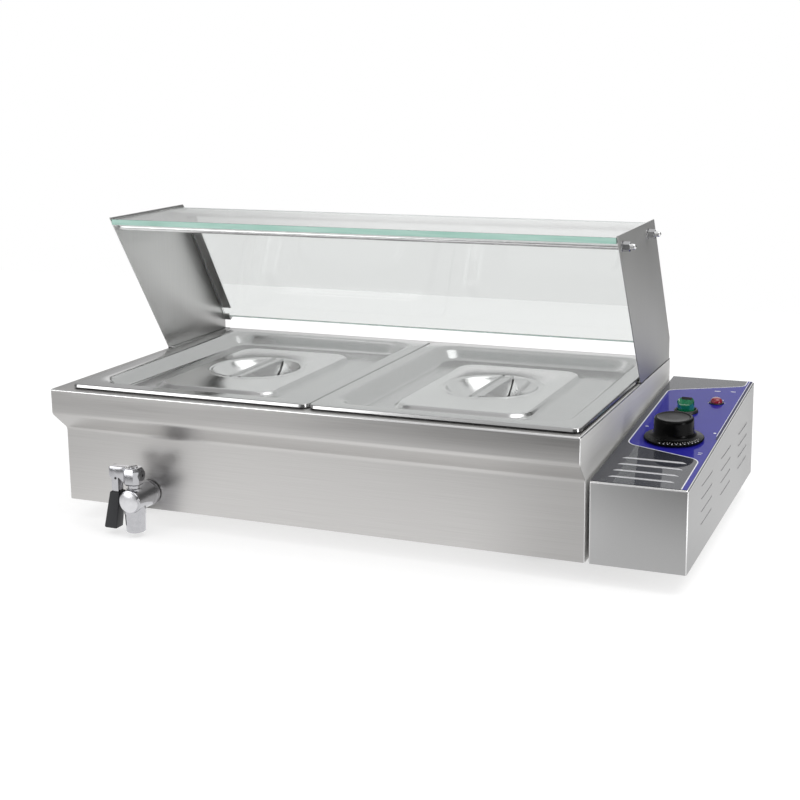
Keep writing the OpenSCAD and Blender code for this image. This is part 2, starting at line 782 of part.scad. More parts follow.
module at_rod_ends(offset) {
    for (y = [rod_front_y, rod_rear_y]) {
        translate([panel_left_x - offset, y, rod_z]) rotate([0, -90, 0]) children();
        along_x([panel_right_x + panel_sheet + offset, y, rod_z]) children();
    }
}

module rod_washers() {
    color(chrome) place() at_rod_ends(0) tube(1, 6, rod_end_radius + slip);
}

module rod_nuts() {
    color(chrome) place() at_rod_ends(1) hexagon_nut(9.5, 5, rod_end_radius + slip);
}

// tub of a pan: taper, then a bevel down to the flat floor
module pan_form(inset, top, bottom) {
    width = lid_width - 2 * pan_wall - 2 * inset;
    length = lid_length - 2 * pan_wall - 2 * inset;
    above = top * pan_slope;
    straight = pan_depth - bottom - pan_chamfer;
    step = pan_slope * straight;
    translate([pan_wall + inset - above, pan_wall + inset - above, pan_sheet + top])
        tapered_block(width + 2 * above, length + 2 * above, straight + top, pan_corner - inset + above, pan_slope);
    translate([pan_wall + inset + step, pan_wall + inset + step, pan_sheet - straight])
        tapered_block(width - 2 * step, length - 2 * step, pan_chamfer, pan_corner - inset - step, 0.8);
}

module pan() {
    difference() {
        union() {
            translate([pan_edge, pan_edge, 0])
                rounded_plate(lid_width - 2 * pan_edge, lid_length - 2 * pan_edge, pan_sheet, rim_corner - pan_edge);
            pan_form(0, 0, 0);
        }
        pan_form(pan_sheet, cut, pan_sheet);
    }
}

module pan_left() {
    color(bright_steel) place() translate([lid_left_x, lid_y, lip_top]) pan();
}

module pan_right() {
    color(bright_steel) place() translate([lid_right_x, lid_y, lip_top]) pan();
}

// pressed lid: turned-down rim, sunken tray, raised pad and a round handle bowl
pad_x = (lid_width - pad_width) / 2;
pad_y = (lid_length - pad_length) / 2;
pad_top = lid_sheet - lid_sink + pad_rise;
module lid_rim() {
    difference() {
        translate([0, 0, -lid_lip]) rounded_plate(lid_width, lid_length, lid_lip + lid_sheet, rim_corner);
        translate([lid_sheet, lid_sheet, -lid_lip - cut])
            rounded_plate(lid_width - 2 * lid_sheet, lid_length - 2 * lid_sheet, lid_lip + cut, rim_corner - lid_sheet);
        translate([lid_flange, lid_flange, -cut])
            rounded_plate(lid_width - 2 * lid_flange, lid_length - 2 * lid_flange, 3 * cut, sink_corner);
    }
}

module lid_tray() {
    width = lid_width - 2 * lid_flange;
    length = lid_length - 2 * lid_flange;
    wall = 0.6 * lid_sheet;
    difference() {
        translate([lid_flange - wall, lid_flange - wall, lid_sheet])
            tapered_block(width + 2 * wall, length + 2 * wall, lid_sink + lid_sheet, sink_corner + wall, 0.9);
        translate([lid_flange - 0.9 * cut, lid_flange - 0.9 * cut, lid_sheet + cut])
            tapered_block(width + 1.8 * cut, length + 1.8 * cut, lid_sink + cut, sink_corner + 0.9 * cut, 0.9);
        translate([pad_x, pad_y, -lid_sink - lid_sheet])
            rounded_plate(pad_width, pad_length, 3 * lid_sheet, pad_corner);
    }
}

// the raised pad is a tapered block turned over, hollow below
module lid_pad() {
    rise = pad_rise + lid_sheet;
    slope = 0.9;
    inner = 0.8 * lid_sheet;
    spill = 0.2;
    low = -lid_sink;
    difference() {
        translate([pad_x - spill, pad_y + pad_length + spill, low]) rotate([180, 0, 0])
            tapered_block(pad_width + 2 * spill, pad_length + 2 * spill, rise, pad_corner + spill, slope);
        translate([pad_x + inner - slope, pad_y + pad_length - inner + slope, low - cut]) rotate([180, 0, 0])
            tapered_block(pad_width - 2 * inner + 2 * slope, pad_length - 2 * inner + 2 * slope,
                rise - lid_sheet + cut, pad_corner - inner + slope, slope);
        translate([lid_width / 2, lid_length / 2, low - cut]) cylinder(h = 2 * lid_sink, r = bowl_diameter / 2);
    }
}

module lid_bowl() {
    centre = pad_top - bowl_depth + bowl_radius;
    translate([lid_width / 2, lid_length / 2, 0]) intersection() {
        difference() {
            translate([0, 0, centre]) sphere(bowl_radius + lid_sheet, $fn = 96);
            translate([0, 0, centre]) sphere(bowl_radius, $fn = 96);
        }
        translate([0, 0, pad_top - bowl_depth - 2]) cylinder(h = bowl_depth + 2, r = bowl_radius);
    }
}

// raised ring round the bowl, clear of the handle's ends
module lid_bead() {
    ring = bowl_diameter / 2 + handle_rest + bead_gap + bead_radius;
    translate([lid_width / 2, lid_length / 2, pad_top]) rotate_extrude() translate([ring, 0]) circle(bead_radius);
}

module lid() {
    lid_rim();
    lid_tray();
    lid_pad();
    lid_bowl();
    lid_bead();
}

// channel-shaped grip that bridges the bowl and rests on the pad at both ends
module lid_handle() {
    length = bowl_diameter + 2 * handle_rest;
    centre = pad_top - bowl_depth + bowl_radius;
    translate([lid_width / 2, lid_length / 2, 0]) {
        translate([-handle_width / 2, -length / 2, pad_top]) cube([handle_width, length, handle_sheet]);
        for (x = [-1, 1] * (handle_width / 2 - 2.4))
            along_y([x, -length / 2 + 4, pad_top + handle_sheet - 0.3]) cylinder(h = length - 8, r = handle_rib);
        intersection() {
            for (x = [-handle_width / 2, handle_width / 2 - handle_sheet])
                translate([x, -bowl_diameter / 2, pad_top - handle_drop])
                    cube([handle_sheet, bowl_diameter, handle_drop + handle_sheet / 2]);
            translate([0, 0, centre]) sphere(bowl_radius - 1.2, $fn = 96);
        }
    }
}

module lid_left() {
    color(bright_steel) place() translate([lid_left_x, lid_y, lid_z]) lid();
}

module lid_right() {
    color(bright_steel) place() translate([lid_right_x, lid_y, lid_z]) lid();
}

module lid_left_handle() {
    color(bright_steel) place() translate([lid_left_x, lid_y, lid_z]) lid_handle();
}

module lid_right_handle() {
    color(bright_steel) place() translate([lid_right_x, lid_y, lid_z]) lid_handle();
}

// the tap's own frame: origin where stem axis and inlet axis cross
module at_tap() {
    place() translate([tap_x, -tap_reach, tap_z]) children();
}

module tap_body() {
    gasket = 0.8;
    color(chrome) at_tap() difference() {
        union() {
            along_y([0, -10.5, 0]) cylinder(h = 2.5, r1 = housing_radius - 2.5, r2 = housing_radius);
            along_y([0, -8, 0]) cylinder(h = 18, r = housing_radius);
            along_y([0, 10, 0]) cylinder(h = tap_reach - 17, r1 = housing_radius, r2 = 13);
            along_y([0, tap_reach - 7, 0]) cylinder(h = 7 - gasket, r = 13);
            along_y([0, tap_reach - 2, 0]) cylinder(h = 14, r = shank_radius);
            translate([0, 0, -30.8]) cylinder(h = 26, r1 = 9.8, r2 = 10.6);
            translate([0, 0, -32.3]) cylinder(h = 1.5, r1 = 9, r2 = 9.8);
            translate([0, 0, 8]) cylinder(h = 7.5, r = 6.5);
        }
        along_y([0, -12, 0]) cylinder(h = 12 + 8.6, r = cavity_radius);
        along_y([0, 0, 0]) cylinder(h = tap_reach + 20, r = 5.5);
        translate([0, 0, -40]) cylinder(h = 40, r = 5.5);
        translate([0, 0, -40]) cylinder(h = 25, r = 8);
        cylinder(h = 40, r = 3 + slip);
    }
}

// front closing disc behind which ball and seats are fitted
module tap_plug() {
    color(chrome) at_tap() along_y([0, -11.3, 0]) cylinder(h = 2.7, r = cavity_radius - slip);
}

module tap_seats() {
    color(white) at_tap() difference() {
        for (y = [-8.5, 5.1])
            along_y([0, y, 0]) tube(3.4, cavity_radius - slip, 5);
        sphere(ball_radius + slip, $fn = 64);
    }
}

// ball with an angled port: in from the side, out below along the stem axis
module tap_ball() {
    color(chrome) at_tap() difference() {
        sphere(ball_radius, $fn = 64);
        translate([0, 0, -20]) cylinder(h = 20, r = 4.5);
        along_x([0, 0, 0]) cylinder(h = 20, r = 4.5);
        translate([-1.6 - slip, -20, ball_radius - 2.4]) cube([3.2 + 2 * slip, 40, 10]);
    }
}

module tap_stem() {
    color(chrome) at_tap() {
        intersection() {
            translate([-1.6, -20, ball_radius - 2.3]) cube([3.2, 40, 4]);
            cylinder(h = 40, r = 3);
        }
        translate([0, 0, ball_radius + 0.6]) cylinder(h = 33.3 - 2 - ball_radius - 0.6, r = 3);
    }
}

// hub on the stem, arm to the left and a tang that carries the grip
module tap_lever() {
    low = hub_bottom - tap_z;
    high = hub_top - tap_z;
    bevel = 4;
    hub = [[-hub_half, -hub_half + bevel], [-hub_half + bevel, -hub_half], [hub_half - bevel, -hub_half],
        [hub_half, -hub_half + bevel], [hub_half, hub_half - bevel], [hub_half - bevel, hub_half],
        [-hub_half + bevel, hub_half], [-hub_half, hub_half - bevel]];
    arm = [[-26, high - 1], [-25, high], [-hub_half + 1, high], [-hub_half + 1, low + 2], [-hub_half - 2, low + 2],
        [leg_right + 1.5, low + 6], [leg_right, low + 6], [leg_right, leg_low], [leg_left, leg_low],
        [leg_left, low + 5], [-26, low + 7.5]];
    color(chrome) at_tap() difference() {
        union() {
            translate([0, 0, low]) linear_extrude(high - low) polygon(hub);
            translate([0, leg_half, 0]) rotate([90, 0, 0]) linear_extrude(2 * leg_half) polygon(arm);
            along_x([hub_half - cut, 0, low + 10]) cylinder(h = cut + 1.5, r = 5.5);
        }
        translate([0, 0, low - cut]) cylinder(h = 40, r = 3 + slip / 2);
        along_x([4, 0, low + 10]) cylinder(h = 10, r = 1.6);
    }
}

module tap_grip() {
    outline = [[-24.8, 7.4], [-13.8, 7.4], [-19.2, -30.8], [-32.3, -30.8], [-33.3, -29.5]];
    color(black) at_tap() difference() {
        translate([0, 6, 0]) rotate([90, 0, 0]) linear_extrude(12) polygon(outline);
        translate([leg_left - slip, -leg_half - slip, leg_low - slip])
            cube([leg_right - leg_left + 2 * slip, 2 * (leg_half + slip), 40]);
    }
}

module tap_screw() {
    high = hub_top - tap_z;
    color(steel) at_tap() difference() {
        translate([0, 0, high]) cylinder(h = 1.4, r1 = 5.5, r2 = 5);
        rotate([0, 0, 64]) translate([-8, -0.8, high + 0.5]) cube([16, 1.6, 4]);
    }
}

module tap_gasket() {
    color(rubber) place() along_y([tap_x, -0.8, tap_z]) tube(0.8, 12.5, shank_radius + seat);
}

module tap_locknut() {
    color(brass) place() along_y([tap_x, tank_y + sheet, tap_z]) hexagon_nut(19, 6, shank_radius + slip);
}

outer_casing();
water_tank();
pan_support_bar();
base_plate();
rubber_feet();
foot_screws();
foot_nuts();
heating_element();
element_nuts();
element_supports();
thermostat_sensor();
sensor_nut();
sensor_clip();
control_box();
box_floor();
box_spacers();
box_screws();
box_nuts();
control_overlay();
thermostat_body();
thermostat_spindle();
thermostat_knob();
switch_housing();
switch_rocker();
lamp_holder();
lamp_lens();
terminal_block();
cable_gland();
gland_nut();
wiring();
guard_panel_left();
guard_panel_right();
shelf_glass();
rear_glass();
glass_clips();
front_rod();
rear_rod();
rod_washers();
rod_nuts();
pan_left();
pan_right();
lid_left();
lid_right();
lid_left_handle();
lid_right_handle();
tap_body();
tap_plug();
tap_seats();
tap_ball();
tap_stem();
tap_lever();
tap_grip();
tap_screw();
tap_gasket();
tap_locknut();
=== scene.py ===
from math import atan2, cos, hypot, pi, radians, sin, sqrt, tan

import bmesh
import bpy
from mathutils import Matrix, Vector


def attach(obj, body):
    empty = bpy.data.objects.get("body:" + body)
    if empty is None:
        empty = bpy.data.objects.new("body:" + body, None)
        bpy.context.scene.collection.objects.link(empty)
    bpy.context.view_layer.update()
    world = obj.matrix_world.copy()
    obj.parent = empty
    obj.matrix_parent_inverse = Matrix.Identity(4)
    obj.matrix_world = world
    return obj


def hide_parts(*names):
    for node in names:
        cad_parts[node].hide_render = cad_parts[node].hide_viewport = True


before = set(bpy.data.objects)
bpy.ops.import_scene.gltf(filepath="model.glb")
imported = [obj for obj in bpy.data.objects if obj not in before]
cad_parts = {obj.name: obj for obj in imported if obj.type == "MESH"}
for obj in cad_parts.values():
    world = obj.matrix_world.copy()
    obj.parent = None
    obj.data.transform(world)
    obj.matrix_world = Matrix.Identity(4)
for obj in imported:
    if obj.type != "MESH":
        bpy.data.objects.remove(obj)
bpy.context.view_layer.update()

# Lengths are in millimetres from the casing's lower front left corner: +X right, +Y rear, +Z up.
ORIGIN = Vector((308.9, 159.35, -20.0))

# casing: the collar overhangs in front and at the left; the tank's opening is x0, x1, y0, y1
WIDTH = 548.0
DEPTH = 342.0
HEIGHT = 120.0
TAPER_LOW = 76.0
COLLAR_LOW = 94.0
FRONT_OVER = 18.0
LEFT_OVER = 4.0
SHEET = 1.0
CASING_CORNER = 1.2
CASING_EDGE = 1.6
CASING_BEND = 3.0
TANK = (20.0, 538.0, 1.9, 310.0)
TANK_CORNER = 20.0
TANK_SLACK = 0.3

# lids: heights are above LID_Z; a pad outline is half width, half length and corner radius
LID_SIZE = (265.0, 325.0)
LID_CORNERS = {"left": (14.0, -8.0), "right": (280.0, -8.0)}
LID_Z = 123.9
LID_SHEET = 0.9
LID_BENDS = (1.2, 4.5, 4.0, 2.6, 2.2)
RIM_DROP = 2.5
TRAY_DEPTH = 13.0
PAD_TOP = -7.3
PAD_FOOT = (70.6, 103.6, 24.0)
PAD_EDGE = (65.8, 98.8, 19.5)
PAD_FLAT = (62.0, 95.0, 15.5)
BOWL_RADIUS = 47.0
BOWL_DEPTH = 25.0
BOWL_SPHERE = (BOWL_RADIUS ** 2 + BOWL_DEPTH ** 2) / (2 * BOWL_DEPTH)
STRAP_HALF = (7.5, 50.0)
STRAP_DROP = 15.0
STRAP_SHEET = 1.2
# the pad's shift grows from nothing at SHIFT_START, a half width, to PAD_SHIFT at its foot
PAD_SHIFT = {"left": -7.0, "right": -5.0}
SHIFT_START = 100.0

# control box: a spot is x and the way along the sloping top; a louvre is length, width, height
BOX_X = 551.5
BOX_WIDTH = 87.5
BOX_FRONT = 76.5
BOX_REAR = 99.5
BOX_CORNER = 1.6
BOX_EDGE = 1.8
BOX_SLOPE = atan2(BOX_REAR - BOX_FRONT, DEPTH)
BOX_LENGTH = DEPTH / cos(BOX_SLOPE)
FILM_TOP = 0.4
FILM_EDGE = 1.0
FILM_RIGHT = 1.6
KNOB = (46.375, 132.012)
SWITCH = (40.075, 218.88)
ROCKER_PIVOT = 2.2
ROCKER_TILT = radians(16)
LAMP = (63.4375, 255.987)
TOP_LOUVRE = (59.0, 1.6, 1.0)
TOP_LOUVRE_SPOT = (13.0, 15.0)
TOP_LOUVRE_STEP = 17.0
SIDE_LOUVRE = (54.0, 2.4, 0.7)
SIDE_LOUVRE_Z = 28.0
SIDE_LOUVRE_STEP = 12.0
# marks on the film: x, along, width, length
FILM_MARKS = ((13.4, 163, 3.0, 1.6), (80, 159, 2.4, 3.0), (78, 99, 4.0, 1.0), (78, 95, 3.2, 1.0),
              (57, 297, 6.0, 1.8), (73, 299, 5.0, 1.8), (68, 267, 1.6, 1.6), (56, 254, 2, 1), (71, 258, 2, 1))

# guard: foot and top are ranges of y; the rear pane's span is measured along its lean
GUARD_FOOT = (206.0, 337.0)
GUARD_TOP = (100.0, 249.0)
GUARD_HEIGHT = 281.0
GUARD_KINK = 143.5
PANEL_SHEET = 1.2
PANEL_X = {"left": -LEFT_OVER, "right": WIDTH - PANEL_SHEET}
LEAN = atan2(GUARD_FOOT[1] - GUARD_TOP[1], GUARD_HEIGHT - GUARD_KINK)
LEAN_LENGTH = (GUARD_HEIGHT - GUARD_KINK) / cos(LEAN)
FOOT_FLANGE = 6.8
REAR_FOLD = 11.8
FOLD_GAP = 0.2
SHELF_TOP = 279.2
SHELF_REAR = 234.0
SHELF_THICKNESS = 6.0
REAR_THICKNESS = 5.0
REAR_SPAN = (-6.0, LEAN_LENGTH - 16.0)
GLASS_SLACK = 0.5
ROD_Z = 269.5
ROD_Y = {"front": 117.0, "rear": 220.0}
ROD_RADIUS = 3.5
ROD_THREAD = 2.8
ROD_END = 11.0

# feet
FOOT_INSET = 62.0
FOOT_HEIGHT = 20.0

# tap: the ball's middle, and the hub's range above it
TAP = (97.0, -28.0, 17.5)
HUB_LOW = 15.8
HUB_HIGH = 33.3

# camera, fitted to the casing's corners: angles in degrees, lens and shift in picture pixels
CAMERA_ANGLES = (22.85, 11.05, -0.69)
CAMERA_PLACE = (869.0, -1178.3, 440.9)
SENSOR = 36.0
PICTURE = 800
FOCAL_PIXELS = 1428.5
SHIFT_PIXELS = -60.0

# studio, in metres and as strengths
TABLE = (-1.6, 1.6, -0.85, 1.3)
TABLE_GREY = (0.55, 0.55, 0.55, 1)
TABLE_GLOW = (0.56, 0.56, 0.56, 1)
GLOW_THROUGH_GLASS = 1.1
AMBIENT = 0.85
LIGHT_TARGET = (0, 0, 0.1)

# the table as metal mirrors it: start and end of a fade, then the strength at both
TABLE_FRONT = (-0.70, -0.44, 0.44, 1.04)
TABLE_LEFT = (-0.52, -0.26, 0.74, 1.0)
TABLE_SLANT = -1.5
TABLE_FAR = (0.5, 1.0, 1.0, 0.66)
TABLE_BESIDE = (0.1, 0.22, 1.0, 0.72)
TABLE_EDGE = (0.42, 0.55, 1.0, 2.0)
TABLE_BEFORE = (-0.12, 0.1, 1.0, 0.0)
TABLE_REAR = (-0.12, 0.1, 0.0, 0.76)
TABLE_REAR_RIGHT = (0.05, 0.3, 1.0, 1.12)

# the room as metal mirrors it, in the same way, over parts of the direction
ROOM_DEPTH = (-0.6, 0.3, 0.62, 1.0)
ROOM_ABOVE = (0.35, 0.95, 1.0, 0.85)
ROOM_BELOW = (0.0, 0.13, 0.4, 1.0)
ROOM_LEFT = (-0.62, -0.36, 0.42, 1.0)
ROOM_SLANT = -0.8
ROOM_RIGHT = (-0.2, 0.02, 1.0, 0.2)


# placing

def metres(point):
    return (Vector(point) - ORIGIN) / 1000


def on_panel(x, along, off):
    """A point on the control box's sloping top."""
    y = along * cos(BOX_SLOPE) - off * sin(BOX_SLOPE)
    z = BOX_FRONT + along * sin(BOX_SLOPE) + off * cos(BOX_SLOPE)
    return (BOX_X + x, y, z)


def panel_matrix(spot):
    return Matrix.Translation(on_panel(spot[0], spot[1], 0)) @ Matrix.Rotation(BOX_SLOPE, 4, "X")


def lean_matrix():
    return Matrix.Translation((0, GUARD_FOOT[1], GUARD_KINK)) @ Matrix.Rotation(LEAN, 4, "X")


def along_x(point):
    return Matrix.Translation(point) @ Matrix.Rotation(pi / 2, 4, "Y")


def along_y(point):
    return Matrix.Translation(point) @ Matrix.Rotation(-pi / 2, 4, "X")


# paths and rings

def mix(a, b, t):
    return tuple(p + (q - p) * t for p, q in zip(a, b))


def rounded(path, reach, steps=5):
    """A path of tuples whose inner corners become curves that start reach before the corner.

    The first and the last entry of a tuple are the ones that distances are measured in."""
    out = [tuple(path[0])]
    for a, b, c, r in zip(path, path[1:], path[2:], reach):
        if r == 0:
            out.append(tuple(b))
            continue
        before = r / hypot(a[0] - b[0], a[-1] - b[-1])
        after = r / hypot(c[0] - b[0], c[-1] - b[-1])
        start = mix(b, a, before)
        end = mix(b, c, after)
        for i in range(steps + 1):
            t = i / steps
            out.append(mix(mix(start, b, t), mix(b, end, t), t))
    out.append(tuple(path[-1]))
    return out


def arc(centre, radius, start, end, steps=10):
    angles = [radians(start + (end - start) * i / steps) for i in range(steps + 1)]
    return [(centre[0] + radius * cos(a), centre[1] + radius * sin(a)) for a in angles]


def quarter_round(radius):
    """Inset and drop along a rounded upper edge, from the wall to the top."""
    return [(radius - x, radius - y) for x, y in arc((0, 0), radius, 0, 90, 5)]


def rectangle_ring(x0, x1, y0, y1, radius, z, corner, side):
    """Counterclockwise rounded rectangle with so many steps per corner and side."""
    centres = ((x1 - radius, y0 + radius, -90), (x1 - radius, y1 - radius, 0),
               (x0 + radius, y1 - radius, 90), (x0 + radius, y0 + radius, 180))
    arcs = []
    for cx, cy, start in centres:
        arcs.append([(x, y, z) for x, y in arc((cx, cy), radius, start, start + 90, corner)])
    ring = []
    for bend, following in zip(arcs, arcs[1:] + arcs[:1]):
        ring += bend
        ring += [mix(bend[-1], following[0], i / side) for i in range(1, side)]
    return ring


def circle_ring(radius, z, segments, wave=0.0, waves=0):
    """A circle, or one that dips by wave as often as waves says."""
    ring = []
    for i in range(segments):
        a = 2 * pi * i / segments
        r = radius - wave * (0.5 + 0.5 * cos(waves * a))
        ring.append((r * cos(a), r * sin(a), z))
    return ring


# shapes: each returns (points, faces)

def loft(rings, first=False, last=False):
    """Joins closed rings of equal length, with or without end faces."""
    count = len(rings[0])
    points = [p for ring in rings for p in ring]
    faces = []
    for i in range(len(rings) - 1):
        for j in range(count):
            k = (j + 1) % count
            faces.append((i * count + j, i * count + k, (i + 1) * count + k, (i + 1) * count + j))
    if first:
        faces.append(tuple(reversed(range(count))))
    if last:
        faces.append(tuple(range((len(rings) - 1) * count, len(rings) * count)))
    return points, faces


def revolve(profile, segments):
    """Turns (radius, height) pairs round the z axis; ends that aren't on the axis are capped."""
    rings = [circle_ring(max(r, 0.0), z, segments) for r, z in profile]
    return loft(rings, first=profile[0][0] > 0, last=profile[-1][0] > 0)


def prism(outline, low, high, bevel=0.0, segments=2):
    """An upright prism over an outline, its edges rounded."""
    mesh = bmesh.new()
    verts = [mesh.verts.new((x, y, low)) for x, y in outline]
    face = mesh.faces.new(verts)
    grown = bmesh.ops.extrude_face_region(mesh, geom=[face])
    lifted = [v for v in grown["geom"] if isinstance(v, bmesh.types.BMVert)]
    bmesh.ops.translate(mesh, verts=lifted, vec=(0, 0, high - low))
    if bevel:
        bmesh.ops.bevel(mesh, geom=list(mesh.edges), offset=bevel, segments=segments, profile=0.5,
                        affect="EDGES", clamp_overlap=True)
    mesh.verts.ensure_lookup_table()
    points = [tuple(v.co) for v in mesh.verts]
    faces = [tuple(v.index for v in f.verts) for f in mesh.faces]
    mesh.free()
    return points, faces


def block(corner, opposite, bevel=0.0):
    """A box between two opposite corners."""
    x0, y0, z0 = (min(pair) for pair in zip(corner, opposite))
    x1, y1, z1 = (max(pair) for pair in zip(corner, opposite))
    return prism([(x0, y0), (x1, y0), (x1, y1), (x0, y1)], z0, z1, bevel)


def side_prism(outline, low, high, bevel):
    """A prism over a (y, z) outline, from x = low to x = high."""
    turn = Matrix(((0, 0, 1, 0), (1, 0, 0, 0), (0, 1, 0, 0), (0, 0, 0, 1)))
    return moved(prism(outline, low, high, bevel), turn)


def upended(shape):
    """Turns a prism over an (x, z) outline upright."""
    return moved(shape, Matrix(((1, 0, 0, 0), (0, 0, -1, 0), (0, 1, 0, 0), (0, 0, 0, 1))))


def moved(shape, matrix):
    points, faces = shape
    return [tuple(matrix @ Vector(p)) for p in points], faces


def joined(*shapes):
    points, faces = [], []
    for some_points, some_faces in shapes:
        start = len(points)
        points += some_points
        faces += [tuple(start + i for i in f) for f in some_faces]
    return points, faces


def ribbon(path, width):
    """A flat strip along a path in the panel's plane, as (x, along) quads."""
    count = len(path)
    left, right = [], []
    for i, here in enumerate(path):
        before = path[i - 1] if i else here
        after = path[i + 1] if i < count - 1 else here
        way = Vector((after[0] - before[0], after[1] - before[1])).normalized()
        left.append((here[0] - way.y * width / 2, here[1] + way.x * width / 2))
        right.append((here[0] + way.y * width / 2, here[1] - way.x * width / 2))
    return left + right, [(count + i, count + i + 1, i + 1, i) for i in range(count - 1)]


# pieces

def add_object(name, data):
    obj = bpy.data.objects.new(name, data)
    bpy.context.scene.collection.objects.link(obj)
    return obj


def piece(name, shape, material, body, nodes=(), sharp=35, more=()):
    """Makes a mesh object from a shape in millimetres and hangs it on a body."""
    points, faces = shape
    mesh = bpy.data.meshes.new(name)
    mesh.from_pydata([metres(p) for p in points], [], faces)
    work = bmesh.new()
    work.from_mesh(mesh)
    bmesh.ops.remove_doubles(work, verts=work.verts, dist=2e-7)
    bmesh.ops.dissolve_degenerate(work, dist=1e-7, edges=work.edges)
    bmesh.ops.recalc_face_normals(work, faces=work.faces)
    work.to_mesh(mesh)
    work.free()
    mesh.shade_smooth()
    mesh.set_sharp_from_angle(angle=radians(sharp))
    for one in (material, *more):
        mesh.materials.append(one)
    obj = add_object(name, mesh)
    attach(obj, body)
    if nodes:
        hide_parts(*nodes)
    return obj


def paint(obj, index, chosen):
    """Gives the faces that a test chooses another of the object's materials."""
    for face in obj.data.polygons:
        if chosen(face):
            face.material_index = index


def thicken(obj, thickness, sharp=30):
    """Gives an open sheet its thickness, inwards, with crisp rims."""
    change = obj.modifiers.new("thickness", "SOLIDIFY")
    change.thickness = thickness / 1000
    change.offset = -1
    bpy.context.view_layer.update()
    shown = obj.evaluated_get(bpy.context.evaluated_depsgraph_get())
    solid = bpy.data.meshes.new_from_object(shown)
    solid.set_sharp_from_angle(angle=radians(sharp))
    obj.modifiers.clear()
    obj.data = solid


# materials; an owner of nodes is a material or the world

def clear_nodes(owner):
    owner.use_nodes = True
    owner.node_tree.nodes.clear()


def add_node(owner, kind):
    return owner.node_tree.nodes.new("ShaderNode" + kind)


def link(owner, output, to):
    owner.node_tree.links.new(output, to)


def new_material(name):
    material = bpy.data.materials.new(name)
    clear_nodes(material)
    output = add_node(material, "OutputMaterial")
    shader = add_node(material, "BsdfPrincipled")
    link(material, shader.outputs["BSDF"], output.inputs["Surface"])
    return material, shader


def set_inputs(node, values):
    for name, value in values.items():
        node.inputs[name].default_value = value


def noise(material, scale, detail, stretch=(1, 1, 1)):
    """Noise in the frame's own metres, stretched along an axis."""
    where = add_node(material, "TexCoord")
    mapping = add_node(material, "Mapping")
    set_inputs(mapping, {"Scale": stretch})
    texture = add_node(material, "TexNoise")
    set_inputs(texture, {"Scale": scale, "Detail": detail})
    link(material, where.outputs["Object"], mapping.inputs["Vector"])
    link(material, mapping.outputs["Vector"], texture.inputs["Vector"])
    return texture.outputs["Fac"]


def spread(material, value, low, high):
    """Maps noise to a range."""
    node = add_node(material, "MapRange")
    set_inputs(node, {"From Min": 0.25, "From Max": 0.75, "To Min": low, "To Max": high})
    link(material, value, node.inputs["Value"])
    return node.outputs["Result"]


def bump(material, shader, value, strength, distance):
    node = add_node(material, "Bump")
    set_inputs(node, {"Strength": strength, "Distance": distance})
    link(material, value, node.inputs["Height"])
    link(material, node.outputs["Normal"], shader.inputs["Normal"])


def tinted(material, shader, value, dark, light):
    ramp = add_node(material, "ValToRGB")
    ramp.color_ramp.elements[0].position = 0.3
    ramp.color_ramp.elements[0].color = (*dark, 1)
    ramp.color_ramp.elements[1].position = 0.7
    ramp.color_ramp.elements[1].color = (*light, 1)
    link(material, value, ramp.inputs["Fac"])
    link(material, ramp.outputs["Color"], shader.inputs["Base Color"])


def brushed_steel(name, dark, light, rough, grain, strength=0.08, metal=1.0):
    """Brushed sheet: long fine scratches along the grain."""
    material, shader = new_material(name)
    set_inputs(shader, {"Metallic": metal})
    along, across = 12.0, 1400.0
    stretch = tuple(along if axis == grain else across for axis in "xyz")
    streaks = noise(material, 1.0, 3.0, stretch)
    tinted(material, shader, streaks, dark, light)
    link(material, spread(material, streaks, rough - 0.03, rough + 0.04), shader.inputs["Roughness"])
    bump(material, shader, streaks, strength, 0.00001)
    return material


def satin_steel(name, tone, rough):
    """Pressed stainless: almost mirror-like, with faint rolling marks."""
    material, shader = new_material(name)
    set_inputs(shader, {"Metallic": 1.0})
    cloud = noise(material, 14.0, 3.0)
    tinted(material, shader, cloud, tuple(0.97 * c for c in tone), tone)
    link(material, spread(material, noise(material, 1.0, 2.0, (30, 900, 900)), rough - 0.02, rough + 0.02),
         shader.inputs["Roughness"])
    bump(material, shader, noise(material, 9.0, 1.0), 0.03, 0.002)
    return material


def chrome(name, tone, rough):
    material, shader = new_material(name)
    set_inputs(shader, {"Metallic": 1.0})
    cloud = noise(material, 220.0, 2.0)
    tinted(material, shader, cloud, tuple(0.92 * c for c in tone), tone)
    link(material, spread(material, cloud, rough - 0.03, rough + 0.05), shader.inputs["Roughness"])
    return material


def plastic(name, tone, rough, grain=900.0, strength=0.1, specular=0.5):
    """Moulded plastic with a fine grain."""
    material, shader = new_material(name)
    texture = noise(material, grain, 2.0)
    tinted(material, shader, texture, tuple(0.85 * c for c in tone), tone)
    link(material, spread(material, texture, rough - 0.05, rough + 0.05), shader.inputs["Roughness"])
    bump(material, shader, texture, strength, 0.00005)
    set_inputs(shader, {"Specular IOR Level": specular})
    return material


def film(name, dark, light, gloss, rough=0.05):
    """Printed film under a clear gloss."""
    material, shader = new_material(name)
    texture = noise(material, 35.0, 3.0)
    tinted(material, shader, texture, dark, light)
    set_inputs(shader, {"Roughness": 0.6, "Specular IOR Level": 0.1, "Coat Weight": gloss,
                        "Coat Roughness": rough})
    bump(material, shader, noise(material, 60.0, 1.0), 0.02, 0.0005)
    return material


def clear_glass(name):
    material, shader = new_material(name)
    set_inputs(shader, {"Base Color": (0.775, 0.79, 0.782, 1), "Roughness": 0.0, "IOR": 1.5,
                        "Transmission Weight": 1.0})
    return material


def glass_edge(name):
    material, shader = new_material(name)
    texture = noise(material, 1.0, 2.0, (20, 300, 300))
    tinted(material, shader, texture, (0.42, 0.70, 0.60), (0.56, 0.80, 0.72))
    set_inputs(shader, {"Roughness": 0.25, "Transmission Weight": 0.35})
    return material


